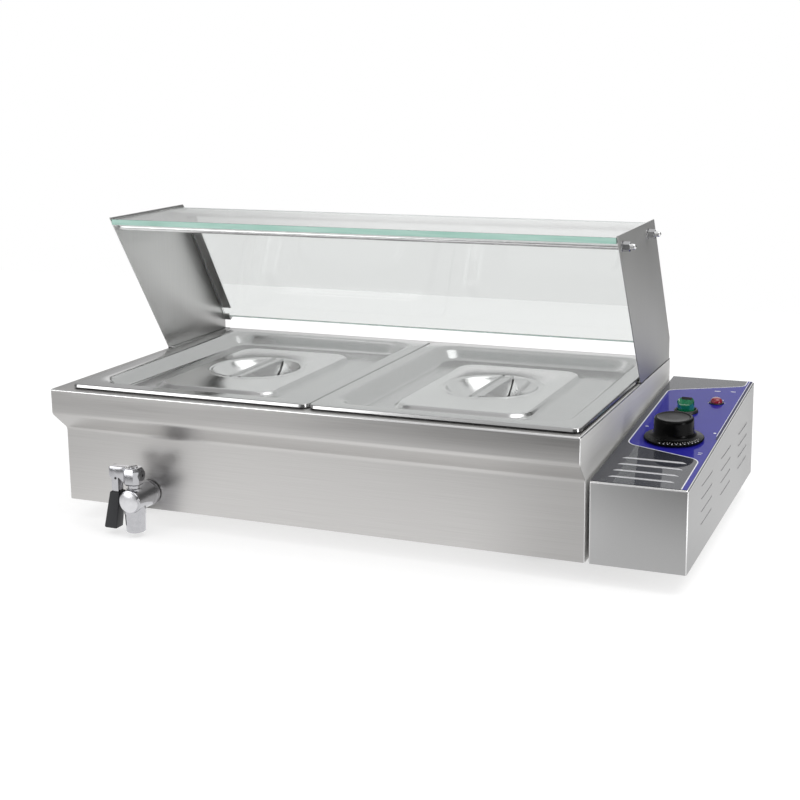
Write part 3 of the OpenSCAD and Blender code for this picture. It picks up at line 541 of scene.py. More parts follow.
def translucent(name, dark, light, glow):
    material, shader = new_material(name)
    texture = noise(material, 260.0, 2.0)
    tinted(material, shader, texture, dark, light)
    set_inputs(shader, {"Roughness": 0.12, "Transmission Weight": 0.25, "Coat Weight": 0.9,
                        "Emission Color": (*light, 1), "Emission Strength": glow})
    return material


STEEL_X = brushed_steel("casing_steel_across", (0.55, 0.54, 0.53), (0.60, 0.59, 0.58), 0.33, "x")
STEEL_Y = brushed_steel("casing_steel_along", (0.52, 0.52, 0.52), (0.57, 0.57, 0.57), 0.32, "y")
# side walls: brushed along their length, in a lighter copy of the casing steel as painted light
STEEL_SIDE_PAINTED_LIGHT = brushed_steel("side_steel_painted_light", (0.78, 0.775, 0.76), (0.83, 0.825, 0.81), 0.58, "y", 0.05, 0.6)
# guard panels: one steel, in a lighter copy for the left panel and a darker copy for the right, as painted
# light and shade
PANEL_LEFT_PAINTED_LIGHT = brushed_steel("left_panel_steel_painted_light", (0.67, 0.665, 0.66), (0.72, 0.715, 0.71), 0.40, "z")
PANEL_RIGHT_PAINTED_SHADE = brushed_steel("right_panel_steel_painted_shade", (0.58, 0.58, 0.57), (0.62, 0.62, 0.61), 0.6, "z")
LID_STEEL = satin_steel("lid_steel", (0.58, 0.58, 0.58), 0.18)
PAD_STEEL = satin_steel("lid_pad_steel", (0.74, 0.74, 0.74), 0.18)
# pans, tank and bar in a darker copy of the pressed steel: painted shade under the lids
PAN_STEEL_PAINTED_SHADE = satin_steel("pan_steel_painted_shade", (0.36, 0.36, 0.36), 0.3)
# painted highlight: a much lighter steel on rounded edges and corners, so they read as bright lines
EDGE_HIGHLIGHT_STEEL = satin_steel("edge_highlight_steel", (0.93, 0.93, 0.93), 0.22)
PLAIN_STEEL = satin_steel("plain_steel", (0.55, 0.55, 0.55), 0.28)
CHROME = chrome("chrome", (0.72, 0.72, 0.74), 0.12)
# rods in a lighter chrome, nuts and washers in a darker one: painted light and shade on one chrome
ROD_CHROME_PAINTED_LIGHT = chrome("rod_chrome", (0.90, 0.90, 0.90), 0.22)
NUT_CHROME_PAINTED_SHADE = chrome("nut_chrome_painted_shade", (0.50, 0.50, 0.51), 0.2)
TAP_CHROME = chrome("tap_chrome", (0.52, 0.52, 0.54), 0.16)
DARK_STEEL = chrome("dark_steel", (0.16, 0.16, 0.165), 0.3)
BRASS = chrome("brass", (0.62, 0.47, 0.20), 0.25)
BLACK = plastic("black_plastic", (0.012, 0.012, 0.012), 0.32)
KNOB_BLACK = plastic("knob_plastic", (0.002, 0.002, 0.002), 0.22, 600.0, 0.05, 0.1)
TAP_DISC = chrome("tap_disc_chrome", (0.72, 0.72, 0.74), 0.3)
GRIP_BLACK = plastic("grip_plastic", (0.011, 0.012, 0.015), 0.5)
RUBBER = plastic("rubber", (0.03, 0.03, 0.03), 0.7)
WHITE = plastic("white_plastic", (0.78, 0.78, 0.75), 0.45)
LEAD = plastic("lead_insulation", (0.42, 0.07, 0.06), 0.4)
BLUE_FILM = film("blue_film", (0.013, 0.011, 0.245), (0.016, 0.014, 0.27), 0.42, 0.03)
SLATE_FILM = film("slate_film", (0.021, 0.023, 0.032), (0.026, 0.028, 0.038), 0.95, 0.025)
# film hoods in a steel lighter than the box's own, as painted highlight lines
HOOD_HIGHLIGHT_STEEL = satin_steel("hood_highlight_steel", (0.74, 0.74, 0.76), 0.3)
NAVY = film("navy_print", (0.008, 0.008, 0.040), (0.012, 0.012, 0.060), 0.3)
SCALE_PRINT = plastic("scale_print", (0.30, 0.29, 0.28), 0.4)
PRINT = plastic("white_print", (0.80, 0.80, 0.84), 0.4)
GLASS = clear_glass("clear_glass")
GLASS_EDGE = glass_edge("glass_edge")
GREEN = translucent("green_plastic", (0.0, 0.085, 0.034), (0.002, 0.155, 0.065), 0.25)
RED = translucent("red_plastic", (0.22, 0.002, 0.015), (0.36, 0.006, 0.03), 0.04)


def dress(material, *names):
    """Gives CAD nodes that no piece replaces their material."""
    for name in names:
        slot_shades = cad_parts[name].data.materials
        slot_shades.clear()
        slot_shades.append(material)


# the parts under the lids take the darker pan steel: painted shade
dress(PAN_STEEL_PAINTED_SHADE, "water_tank", "pan_support_bar", "pan_left", "pan_right")
dress(STEEL_X, "base_plate", "box_floor")
dress(PLAIN_STEEL, "foot_screws", "foot_nuts", "heating_element", "element_supports", "sensor_clip",
      "box_screws", "box_nuts", "thermostat_spindle")
dress(BRASS, "element_nuts", "thermostat_sensor", "sensor_nut", "tap_locknut")
dress(RUBBER, "box_spacers", "tap_gasket")
dress(WHITE, "thermostat_body", "terminal_block", "tap_seats")
dress(LEAD, "wiring")
dress(BLACK, "lamp_holder", "cable_gland", "gland_nut")
dress(CHROME, "tap_ball", "tap_stem")


# casing

def make_casing():
    """Outer sheet with rounded bends, open below, with the tank's opening in its deck."""
    path = [(0, 0, 0), (0, 0, TAPER_LOW), (LEFT_OVER, FRONT_OVER, COLLAR_LOW),
            (LEFT_OVER, FRONT_OVER, HEIGHT)]
    rings = []
    for left, front, z in bend_path(path, [CASING_BEND, CASING_BEND])[:-1]:
        rings.append(rectangle_ring(-left, WIDTH, -front, DEPTH, CASING_CORNER, z, 4, 2))
    for inset, lower in quarter_round(CASING_EDGE):
        rings.append(rectangle_ring(-LEFT_OVER + inset, WIDTH - inset, -FRONT_OVER + inset, DEPTH - inset,
                                    CASING_CORNER + 0.3 * inset, HEIGHT - lower, 4, 2))
    x0, x1, y0, y1 = TANK
    rings.append(rectangle_ring(x0 - TANK_SLACK, x1 + TANK_SLACK, y0 - TANK_SLACK, y1 + TANK_SLACK,
                                TANK_CORNER + TANK_SLACK, HEIGHT, 4, 2))
    casing = piece("casing_sheet", loft(rings), STEEL_X, "base", ["outer_casing"], 30,
                   [STEEL_SIDE_PAINTED_LIGHT, EDGE_HIGHLIGHT_STEEL])
    # the casing's side walls take the lighter side steel: painted light
    paint(casing, 1, lambda face: abs(face.normal.x) > 0.8)
    paint_edge_highlights(casing, 2)
    thicken(casing, SHEET)


def paint_edge_highlights(obj, index):
    """Paints a highlight on the rounded upper edges and upright corners of a box, in the lighter edge steel.
    """
    def on_edge(face):
        x, y, z = (abs(part) for part in face.normal)
        return 0.15 < face.normal.z < 0.98 or (x > 0.2 and y > 0.2 and z < 0.2)

    paint(obj, index, on_edge)


def bend_path(path, reach):
    """Rounds a path of (left, front, z) where it bends, measured in front and z."""
    turned = [(front, left, z) for left, front, z in path]
    return [(left, front, z) for front, left, z in rounded(turned, reach)]


# lids

def lid_profile():
    """Half width, half length, corner radius and height from the rim's lower edge to the pad."""
    floor = LID_SHEET - TRAY_DEPTH
    path = []
    for inset, corner, z in ((0.0, 8.0, -RIM_DROP), (0.6, 7.4, LID_SHEET), (18.0, 29.0, LID_SHEET),
                             (29.7, 18.5, floor)):
        path.append((LID_SIZE[0] / 2 - inset, LID_SIZE[1] / 2 - inset, corner, z))
    path += [(*PAD_FOOT, floor), (*PAD_EDGE, PAD_TOP), (*PAD_FLAT, PAD_TOP)]
    return rounded(path, LID_BENDS, 6)


def bowl_profile():
    """Radius and height of the bowl: a low bead, then a spherical cap down to the middle."""
    centre = PAD_TOP - BOWL_DEPTH + BOWL_SPHERE
    bead = [(54.0, 0.0), (53.3, 0.2), (52.6, 0.95), (51.9, 1.15), (51.2, 0.95), (50.5, 0.2), (49.6, 0.1),
            (48.9, 0.5), (48.2, 0.8), (47.4, 0.5), (46.7, -0.3)]
    bead = [(r, PAD_TOP + z) for r, z in bead]
    cap = []
    for r in (46.0, 43.0, 39.0, 34.0, 28.0, 21.0, 14.0, 6.0, 0.0):
        cap.append((r, centre - sqrt(BOWL_SPHERE ** 2 - r ** 2)))
    return bead + cap


def lid_centre(side):
    x0, y0 = LID_CORNERS[side]
    return x0 + LID_SIZE[0] / 2, y0 + LID_SIZE[1] / 2


def make_lid(side):
    """Pressed sheet from the rim to the bowl; pad and bowl take a lighter steel and sit left of the middle.
    """
    cx, cy = lid_centre(side)
    rings = []
    for hw, hl, radius, z in lid_profile():
        share = min(1.0, max(0.0, (SHIFT_START - hw) / (SHIFT_START - PAD_FOOT[0])))
        middle = cx + PAD_SHIFT[side] * share
        rings.append(rectangle_ring(middle - hw, middle + hw, cy - hl, cy + hl, radius, LID_Z + z, 10, 8))
    hw, hl = PAD_FLAT[:2]
    cx += PAD_SHIFT[side]
    angles = [atan2((p[1] - cy) / hl, (p[0] - cx) / hw) for p in rings[-1]]
    for radius, z in bowl_profile():
        rings.append([(cx + radius * cos(a), cy + radius * sin(a), LID_Z + z) for a in angles])
    lid = piece("lid_%s_pressing" % side, loft(rings), LID_STEEL, "lid_%s" % side,
                ["lid_%s" % side], 50, [PAD_STEEL])
    thicken(lid, LID_SHEET, 50)
    middle = metres((cx, cy, LID_Z))

    def on_pad(face):
        across = abs(face.center.x - middle.x)
        along = abs(face.center.y - middle.y)
        return across < PAD_EDGE[0] / 1000 and along < PAD_EDGE[1] / 1000

    paint(lid, 1, on_pad)


def make_handle(side):
    """Channel-shaped strap over the bowl: two ribs on top, flanges that follow the bowl."""
    cx, cy = lid_centre(side)
    cx += PAD_SHIFT[side]
    half_width, half = STRAP_HALF
    inner = half_width - STRAP_SHEET
    top = [(7.5, 0.3), (7.3, 1.2), (6.8, 1.8), (5.9, 1.9), (5.1, 1.8), (4.7, 1.2), (4.4, 0.5), (3.8, 0.3),
           (2.0, 0.3)]
    left = [(-x, z) for x, z in top]
    right = list(reversed(top))
    bowl_gap, flange_gap, end_reach, under = 1.4, 0.6, 2.5, -0.2
    steps = 30
    rings = []
    for i in range(-steps, steps + 1):
        y = half * i / steps
        reach = sqrt(max((BOWL_SPHERE - bowl_gap) ** 2 - y * y - half_width ** 2, 0.0))
        low = -min(STRAP_DROP, max(0.0, reach - BOWL_SPHERE + BOWL_DEPTH - flange_gap))
        scale = 1 - max(0.0, end_reach - half + abs(y)) ** 2 * 0.05
        inside = [(half_width, low), (inner, low), (inner, under), (-inner, under), (-inner, low)]
        section = [(-half_width, low)] + left + right + inside
        rings.append([(cx + x * scale, cy + y, LID_Z + PAD_TOP + z) for x, z in section])
    strap = loft(rings, first=True, last=True)
    piece("lid_%s_strap" % side, strap, LID_STEEL, "lid_%s" % side,
          ["lid_%s_handle" % side], 40)


# control box

def make_box():
    """Sheet box with a sloping top and rounded edges, open below."""
    rings = [[(x, y, 0) for x, y, _ in box_ring(0, 0)]]
    rings += [box_ring(*edge) for edge in quarter_round(BOX_EDGE)]
    box = piece("box_sheet", loft(rings, last=True), STEEL_Y, "base", ["control_box"], 30,
                [EDGE_HIGHLIGHT_STEEL])
    paint_edge_highlights(box, 1)
    thicken(box, SHEET)


def box_ring(inset, lower):
    """A ring round the box that follows its sloping top."""
    ring = rectangle_ring(BOX_X + inset, BOX_X + BOX_WIDTH - inset, inset, DEPTH - inset,
                          BOX_CORNER, 0, 4, 2)
    return [(x, y, BOX_FRONT + y * tan(BOX_SLOPE) - lower) for x, y, _ in ring]


def louvre(length, width, height):
    """A pressed hood along +X that rises from y = 0 and opens at y = width."""
    rings = []
    steps = 16
    for i in range(steps + 1):
        t = i / steps
        swell = min(1.0, 4.2 * sin(pi * t)) ** 0.6
        x = length * t
        reach = width * (0.35 + 0.65 * swell)
        section = []
        for j in range(7):
            a = pi / 2 * j / 6
            section.append((x, reach * sin(a), height * swell * (1 - cos(a)) - 0.1))
        section.append((x, 0.85 * reach, -0.1))
        rings.append(section)
    return loft(rings, first=True, last=True)


def make_louvres():
    """Four hoods on the film in front, twelve flat ones in the right wall, with black blocks in the wall's
    openings as painted shade.
    """
    hoods, sides, slot_shades = [], [], []
    x, along = TOP_LOUVRE_SPOT
    on_film = Matrix.Translation((0, 0, FILM_TOP))
    for i in range(4):
        place = panel_matrix((x, along + TOP_LOUVRE_STEP * i)) @ on_film
        hoods.append(moved(louvre(*TOP_LOUVRE), place))
    length, width, height = SIDE_LOUVRE
    hood = moved(louvre(length, -width, height), Matrix.Translation((0, width, 0)))
    # black blocks in the openings under the wall's hoods: painted shade
    slot_shade = block((2.5, -0.35, -0.3), (length - 2.5, 0.1, 0.05))
    for column in range(3):
        for row in range(4):
            y = (0.245 + 0.28 * column) * DEPTH - length / 2
            z = SIDE_LOUVRE_Z + SIDE_LOUVRE_STEP * row
            side = Matrix(((0, 0, 1, BOX_X + BOX_WIDTH), (1, 0, 0, y), (0, 1, 0, z), (0, 0, 0, 1)))
            sides.append(moved(hood, side))
            slot_shades.append(moved(slot_shade, side))
    # the film's hoods take the light hood steel: painted highlight lines
    piece("film_louvres", joined(*hoods), HOOD_HIGHLIGHT_STEEL, "base", (), 40)
    piece("box_louvres", joined(*sides), STEEL_Y, "base", (), 40)
    piece("louvre_slot_shades", joined(*slot_shades), BLACK, "base", (), 40)


def field_border():
    """The line round the blue field from the front edge to the rear edge, as (x, along)."""
    left = 7.0
    strip = BOX_WIDTH - 6.5
    front_turn, rear_turn = -20, 24
    front, rear = radians(front_turn), radians(rear_turn)
    big, small = 14.0, 9.0
    near = (left + big, 0.342 * DEPTH)
    far = (left + small, 0.8275 * DEPTH)
    touch = (near[0] + big * sin(front), near[1] - big * cos(front))
    meet = touch[1] + (strip - touch[0]) * tan(front)
    near_corner = (strip - big, meet - big / tan(pi / 4 - front / 2))
    touch = (far[0] - small * sin(rear), far[1] + small * cos(rear))
    meet = touch[1] + (strip - touch[0]) * tan(rear)
    far_corner = (strip - small, meet + small / tan(pi / 4 + rear / 2))
    return ([(strip, FILM_EDGE)] + arc(near_corner, big, 0, 90 + front_turn)
            + arc(near, big, 270 + front_turn, 180) + arc(far, small, 180, 90 + rear_turn)
            + arc(far_corner, small, rear_turn - 90, 0) + [(strip, BOX_LENGTH - FILM_EDGE)])


def make_film():
    """Printed film over the whole top: slate ground and blue field."""
    low, high = FILM_EDGE, BOX_LENGTH - FILM_EDGE
    right = BOX_WIDTH - FILM_RIGHT
    inset = 0.1
    ground = [(FILM_EDGE, low), (right, low), (right, high), (FILM_EDGE, high)]
    blue = field_border() + [(right - inset, high - inset), (right - inset, low + inset)]
    top = panel_matrix((0, 0))
    piece("film_ground", moved(prism(ground, 0.02, FILM_TOP - 0.1), top), SLATE_FILM, "base",
          ["control_overlay"])
    piece("film_field", moved(prism(blue, 0.02, FILM_TOP), top), BLUE_FILM, "base")


def make_film_print():
    """White border line, navy strip with a white edge, and small marks."""
    rear = BOX_LENGTH - 2
    lines = [ribbon(field_border(), 1.1), ribbon([(BOX_WIDTH - 4.2, 150), (BOX_WIDTH - 4.2, rear)], 0.6)]
    lines = [raised(line, FILM_TOP + 0.03) for line in lines]
    piece("film_lines", joined(*lines), PRINT, "base")
    navy = ribbon([(BOX_WIDTH - 2.7, 140), (BOX_WIDTH - 2.7, rear)], 1.8)
    piece("film_navy", raised(navy, FILM_TOP + 0.02), NAVY, "base")
    marks = []
    for x, along, width, length in FILM_MARKS:
        mark = ribbon([(x - width / 2, along), (x + width / 2, along)], length)
        marks.append(raised(mark, FILM_TOP + 0.03))
    piece("film_marks", joined(*marks), PRINT, "base")


def raised(shape, off):
    """Lays flat (x, along) points on the panel."""
    points, faces = shape
    return [on_panel(x, along, off) for x, along in points], faces


def make_knob():
    """Flared skirt with a notched rim, a smooth cap and a dished top."""
    rim = [(0.0, 1.2, 0), (27.4, 1.2, 0.5), (28.4, 1.7, 0.7), (28.5, 2.6, 0.7), (28.1, 3.4, 0.5)]
    skirt = [(26.8, 3.9), (24.2, 4.5), (21.8, 5.2), (20.2, 6.2), (19.4, 7.6), (19.1, 9.4)]
    cap = [(18.9, 14.0), (18.8, 19.6), (18.6, 21.2), (18.0, 22.2), (17.0, 22.8), (16.0, 22.9)]
    dish = [(15.2, 22.5), (14.0, 22.2), (6.0, 22.1), (0.0, 22.1)]
    profile = rim + [(radius, z, 0) for radius, z in skirt + cap + dish]
    body = loft([circle_ring(radius, z, 288, wave, 48) for radius, z, wave in profile])
    piece("knob_body", moved(body, panel_matrix(KNOB)), KNOB_BLACK, "knob",
          ["thermostat_knob"], 40)


def make_knob_scale():
    """White dots of painted highlight along the skirt's notched rim, and ticks up its slope."""
    place = panel_matrix(KNOB)
    ticks, rim_glints = [], []
    run, rise = 2.6, 0.6
    tilt = Matrix.Rotation(atan2(rise, run), 4, "Y")
    way = Vector((-run, 0, rise)).normalized()
    for i in range(11):
        turn = Matrix.Rotation(radians(-107 + 8.4 * i), 4, "Z")
        # white dots on the notched rim stand in for glints on its notches: painted highlight
        rim_glints.append(moved(block((26.6, -0.5, 3.6), (27.6, 0.5, 4.05), 0.15), place @ turn))
    for i in range(16):
        turn = Matrix.Rotation(radians(-98 + 5.6 * i), 4, "Z")
        tall = 2.0 if i % 3 else 1.3
        spot = Matrix.Translation(Vector((25.9, 0, 4.15)) + way * tall / 2) @ tilt
        ticks.append(moved(block((-tall / 2, -0.28, -0.25), (tall / 2, 0.28, 0.1)), place @ turn @ spot))
    piece("knob_scale", joined(*ticks), SCALE_PRINT, "knob")
    piece("knob_rim_glints", joined(*rim_glints), PRINT, "knob")


def make_switch():
    """Round bezel and a translucent rocker whose rear half stands up."""
    place = panel_matrix(SWITCH)
    bezel = revolve([(0.0, -7.0), (9.2, -7.0), (9.5, -6.0), (9.5, 2.9), (9.9, 3.4), (10.5, 3.6), (11.2, 3.3),
                     (11.7, 2.6), (12.0, 1.0), (12.0, FILM_TOP), (10.4, FILM_TOP), (10.4, -9.0),
                     (0.0, -9.0)], 64)
    piece("switch_bezel", moved(bezel, place), BLACK, "base", ["switch_housing"], 40)
    outline = rounded([(-6, -5), (6, -5), (7.9, -1), (7.9, 9.8), (6.8, 10.7), (0, 5.4), (-6.8, 10.7),
                       (-7.9, 9.8), (-7.9, -1), (-6, -5)], [0, 0, 0.4, 0.5, 1.5, 0.5, 0.4, 0], 4)
    half, radius, steps = 8.2, 8.4, 12
    rings = []
    for i in range(-steps, steps + 1):
        x = half * sin(pi / 2 * i / steps)
        chord = sqrt(radius ** 2 - x ** 2)
        rings.append([(x, max(-chord, min(chord, y)), z) for y, z in outline[:-1]])
    pivot = place @ Matrix.Translation((0, 0, ROCKER_PIVOT)) @ Matrix.Rotation(ROCKER_TILT, 4, "X")
    body = moved(loft(rings, first=True, last=True), pivot)
    piece("rocker_body", body, GREEN, "rocker", ["switch_rocker"], 40)
    outline = [(4.75, 9.42), (5.2, 8.6), (8.15, 8.6), (8.15, 9.9), (6.95, 11.0), (6.6, 10.95)]
    strip = side_prism(outline, -5.0, 5.0, 0.1)
    piece("rocker_strip", moved(strip, pivot), BLACK, "rocker", (), 40)


def make_lamp():
    """Red dome in a black ring."""
    place = panel_matrix(LAMP)
    ring = revolve([(6.0, FILM_TOP), (7.6, FILM_TOP), (7.6, 1.2), (7.2, 1.6), (6.0, 1.7)], 48)
    dome = revolve([(6.1, FILM_TOP), (6.1, 2.4), (5.9, 3.3), (5.2, 4.5), (4.0, 5.5), (2.4, 6.2),
                    (0.0, 6.5)], 48)
    piece("lamp_ring", moved(ring, place), BLACK, "base", (), 40)
    piece("lamp_dome", moved(dome, place), RED, "base", ["lamp_lens"], 50)


# guard

def panel_outline():
    return [(GUARD_FOOT[0], HEIGHT), (GUARD_FOOT[1], HEIGHT), (GUARD_FOOT[1], GUARD_KINK),
            (GUARD_TOP[1], GUARD_HEIGHT), (GUARD_TOP[0], GUARD_HEIGHT)]


def make_glass():
    """Flat shelf and leaning rear pane."""
    low_x = PANEL_X["left"] + PANEL_SHEET + GLASS_SLACK
    high_x = PANEL_X["right"] - GLASS_SLACK
    shelf = block((low_x, GUARD_TOP[0] + 2, SHELF_TOP - SHELF_THICKNESS),
                  (high_x, SHELF_REAR, SHELF_TOP), 0.5)
    back = -PANEL_SHEET - FOLD_GAP
    low, high = REAR_SPAN
    rear = block((low_x, back - REAR_THICKNESS, low), (high_x, back, high), 0.5)
    up = Vector((0, 0, 1))
    out = Vector((0, -cos(LEAN), -sin(LEAN)))
    make_pane("shelf_pane", shelf, up, "shelf_glass")
    make_pane("rear_pane", moved(rear, lean_matrix()), out, "rear_glass")


def make_pane(name, shape, normal, node):
    """A pane whose long edges are green."""
    pane = piece(name, shape, GLASS, "base", [node], 20, [GLASS_EDGE])
    paint(pane, 1, lambda face: abs(face.normal.dot(normal)) < 0.5 and abs(face.normal.x) < 0.5)


def make_guard(side):
    """Side panel with a foot flange, a rear fold and black strips of painted shadow in the gap under the
    flange and at its front edge.
    """
    inward = 1 if side == "left" else -1
    x = PANEL_X[side]
    inner = x + PANEL_SHEET if inward > 0 else x
    sheet = side_prism(panel_outline(), x, x + PANEL_SHEET, 0.35)
    foot = block((inner, GUARD_FOOT[0] + 0.3, HEIGHT),
                 (inner + FOOT_FLANGE * inward, GUARD_FOOT[1] - 0.3, HEIGHT + PANEL_SHEET), 0.3)
    fold = block((inner, -PANEL_SHEET - FOLD_GAP, 6),
                 (inner + REAR_FOLD * inward, -FOLD_GAP, LEAN_LENGTH - 20), 0.3)
    # the left panel takes the lighter copy and the right the darker one: painted light and shade
    steel = PANEL_LEFT_PAINTED_LIGHT if side == "left" else PANEL_RIGHT_PAINTED_SHADE
    panel = piece("guard_sheet_%s" % side, joined(sheet, foot, moved(fold, lean_matrix())), steel, "base",
                  ["guard_panel_%s" % side], 30, [LID_STEEL])
    paint(panel, 1, lambda face: face.normal.z > 0.8)
    outer = x if inward > 0 else x + PANEL_SHEET
    # black strips under the flange and along its front edge: painted shadow of the gap
    shadow_strip = block((outer - 0.1 * inward, GUARD_FOOT[0], HEIGHT - 1.1),
                 (outer + 1.5 * inward, GUARD_FOOT[1] - 12, HEIGHT + 0.3), 0.05)
    front = block((outer, GUARD_FOOT[0] - 0.4, HEIGHT),
                  (outer + 7.8 * inward, GUARD_FOOT[0] + 0.6, HEIGHT + 0.5), 0.05)
    piece("guard_shadow_strip_%s" % side, joined(shadow_strip, front), RUBBER, "base", (), 30)


def make_clips():
    """Hooks under the rear glass and tabs before its upper corners."""
    width, slip = 9.0, 0.3
    back = -PANEL_SHEET - FOLD_GAP
    front = back - REAR_THICKNESS - slip
    low, high = REAR_SPAN
    hook = [(back, low - 3), (front - 2, low - 3), (front - 2, low + 6), (front, low + 6),
            (front, low - slip), (back, low - slip)]
    clips = []
    for x in (PANEL_X["left"] + PANEL_SHEET, PANEL_X["right"] - width):
        clips.append(side_prism(hook, x, x + width, 0.0))
        clips.append(block((x, front - 2, high - 18), (x + width, front, high - 6), 0.3))
    piece("glass_hooks", moved(joined(*clips), lean_matrix()), PLAIN_STEEL, "base",
          ["glass_clips"], 30)


def make_rods():
    """Rods that end flush in the left panel and are nutted outside the right one."""
    start = PANEL_X["left"] + PANEL_SHEET
    inside = PANEL_X["right"] - start
    tip = inside + PANEL_SHEET + ROD_END
    profile = [(ROD_RADIUS, 0.0), (ROD_RADIUS, inside), (ROD_THREAD, inside), (ROD_THREAD, tip)]
    profile += arc((0, tip), ROD_THREAD, 0, 90, 5)[1:]
    nuts, washers = [], []
    washer = revolve([(0.0, 0.0), (5.2, 0.0), (5.2, 0.8), (5.0, 1.0), (0.0, 1.0)], 40)
    hexagon = ((4.5, 1.0), (4.85, 1.5), (4.85, 7.5), (4.5, 8.0))
    nut = loft([circle_ring(r, z, 6) for r, z in hexagon], True, True)
    for name, y in ROD_Y.items():
        rod = moved(revolve(profile, 32), along_x((start, y, ROD_Z)))
        piece("rod_%s" % name, rod, ROD_CHROME_PAINTED_LIGHT, "base", ["%s_rod" % name], 40)
        outside = along_x((WIDTH, y, ROD_Z))
        washers.append(moved(washer, outside))
        nuts.append(moved(nut, outside))
    piece("rod_end_washers", joined(*washers), NUT_CHROME_PAINTED_SHADE, "base", ["rod_washers"], 40)
    piece("rod_end_nuts", joined(*nuts), NUT_CHROME_PAINTED_SHADE, "base", ["rod_nuts"], 25)


# feet

def make_feet():
    """Four tapered rubber feet, hollow below for their screws."""
    foot = revolve([(0.0, -8.0), (5.5, -8.0), (5.5, -FOOT_HEIGHT), (8.2, -FOOT_HEIGHT),
                    (9.0, 0.8 - FOOT_HEIGHT), (14.6, -1.0), (15.6, 0.0), (0.0, 0.0)], 40)
    spots = [(x, y) for x in (FOOT_INSET, WIDTH - FOOT_INSET) for y in (FOOT_INSET, DEPTH - FOOT_INSET)]
    feet = [moved(foot, Matrix.Translation((x, y, 0))) for x, y in spots]
    piece("foot_pads", joined(*feet), RUBBER, "base", ["rubber_feet"], 35)


# tap

AT_TAP = Matrix.Translation(TAP)


def make_tap():
    """Housing with a flat front disc, tapered inlet, spout and neck."""
    across = along_y(TAP)
    housing = revolve([(0.0, -10.4), (10.6, -10.4), (11.4, -10.0), (11.9, -9.2), (12.0, -8.2), (12.0, 7.0),
                       (12.2, 10.5), (12.7, 20.0), (12.8, 20.6), (13.0, 20.8), (13.0, 26.4), (12.7, 27.0),
                       (8.0, 27.1), (8.0, 40.0), (0.0, 40.0)], 64)
    spout = revolve([(7.6, -20.0), (7.6, -31.6), (8.2, -32.2), (8.9, -32.2), (9.5, -31.6), (9.7, -30.4),
                     (10.3, -14.6), (10.7, -14.0), (10.8, -13.0), (10.8, -5.0), (0.0, -5.0),
                     (0.0, -20.0)], 64)
    neck = revolve([(7.6, 9.0), (7.4, 11.8), (7.0, 12.2), (6.0, 12.4), (6.0, 15.5), (0.0, 15.5)], 48)
    body = joined(moved(housing, across), moved(spout, AT_TAP), moved(neck, AT_TAP))
    piece("tap_casting", body, TAP_CHROME, "base", ["tap_body"], 30)
    disc = revolve([(0.0, -11.3), (10.0, -11.3), (10.4, -11.0), (10.5, -10.3)], 64)
    piece("tap_disc", moved(disc, across), TAP_DISC, "base", ["tap_plug"], 40)


def make_lever():
    """Bevelled hub with an arm to the left and a leg."""
    low, high = HUB_LOW, HUB_HIGH
    rings = ((7.6, low), (9.0, low + 1.6), (9.0, high - 3.2), (7.2, high))
    hub = loft([octagon(half, z) for half, z in rings], True, True)
    outline = [(-26, high - 1.4), (-24.6, high), (-7, high), (-7, low + 2), (-10, low + 2), (-14.5, low + 6),
               (-15.5, low + 6), (-15.5, 3.8), (-23.4, 3.8), (-23.4, low + 5), (-26, low + 7.5)]
    arm = prism(outline, -4.5, 4.5, 0.6)
    lever = joined(hub, upended(arm))
    piece("tap_handle_arm", moved(lever, AT_TAP), TAP_CHROME, "tap_handle", ["tap_lever"], 30)


def make_lever_fittings():
    """Boss at the hub's right, screw on top with a black bar for its slot as painted shade, a mark beside it
    and a pin in the arm.
    """
    low, high = HUB_LOW, HUB_HIGH
    boss = revolve([(0.0, 1.6), (1.5, 1.6), (1.5, 2.5), (4.6, 2.5), (5.4, 2.2), (5.7, 1.4), (5.7, -1.0)], 40)
    boss = moved(boss, AT_TAP @ along_x((8, 0, low + 10)))
    piece("tap_boss", boss, DARK_STEEL, "tap_handle", (), 40)
    screw = revolve([(0.0, high + 0.9), (4.2, high + 0.9), (4.8, high + 0.6), (5.0, high)], 40)
    piece("tap_screw_head", moved(screw, AT_TAP), TAP_CHROME, "tap_handle",
          ["tap_screw"], 40)
    turn = Matrix.Rotation(radians(64), 4, "Z")
    # the screw's slot is a black bar laid on the head: painted shade
    slot_shade = moved(block((-4.2, -0.9, high + 0.5), (4.2, 1.1, high + 1.1)), turn)
    mark = revolve([(0.0, high + 0.1), (1.0, high + 0.1), (1.0, high - 0.5)], 20)
    mark = moved(mark, Matrix.Translation((-5.2, -3.6, 0)))
    pin = revolve([(0.0, 4.62), (1.3, 4.62), (1.3, 4.0)], 24)
    pin = moved(upended(pin), Matrix.Translation((-18.4, 0, 21.3)))
    dark = joined(slot_shade, mark, pin)
    piece("tap_slot_shade_and_marks", moved(dark, AT_TAP), BLACK, "tap_handle", (), 40)


def make_grip():
    """Sleeve on the leg that widens downwards and leans left."""
    outline = [(-24.8, 7.4), (-13.8, 7.4), (-19.2, -30.8), (-32.3, -30.8), (-33.3, -29.5)]
    grip = upended(prism(outline, -6, 6, 1.2, 3))
    piece("tap_sleeve", moved(grip, AT_TAP), GRIP_BLACK, "tap_handle", ["tap_grip"], 35)


def octagon(half, z):
    """A square ring with cut corners."""
    short = 0.55 * half
    ring = [(half, -short), (half, short), (short, half), (-short, half), (-half, short), (-half, -short),
            (-short, -half), (short, -half)]
    return [(x, y, z) for x, y in ring]


# stage

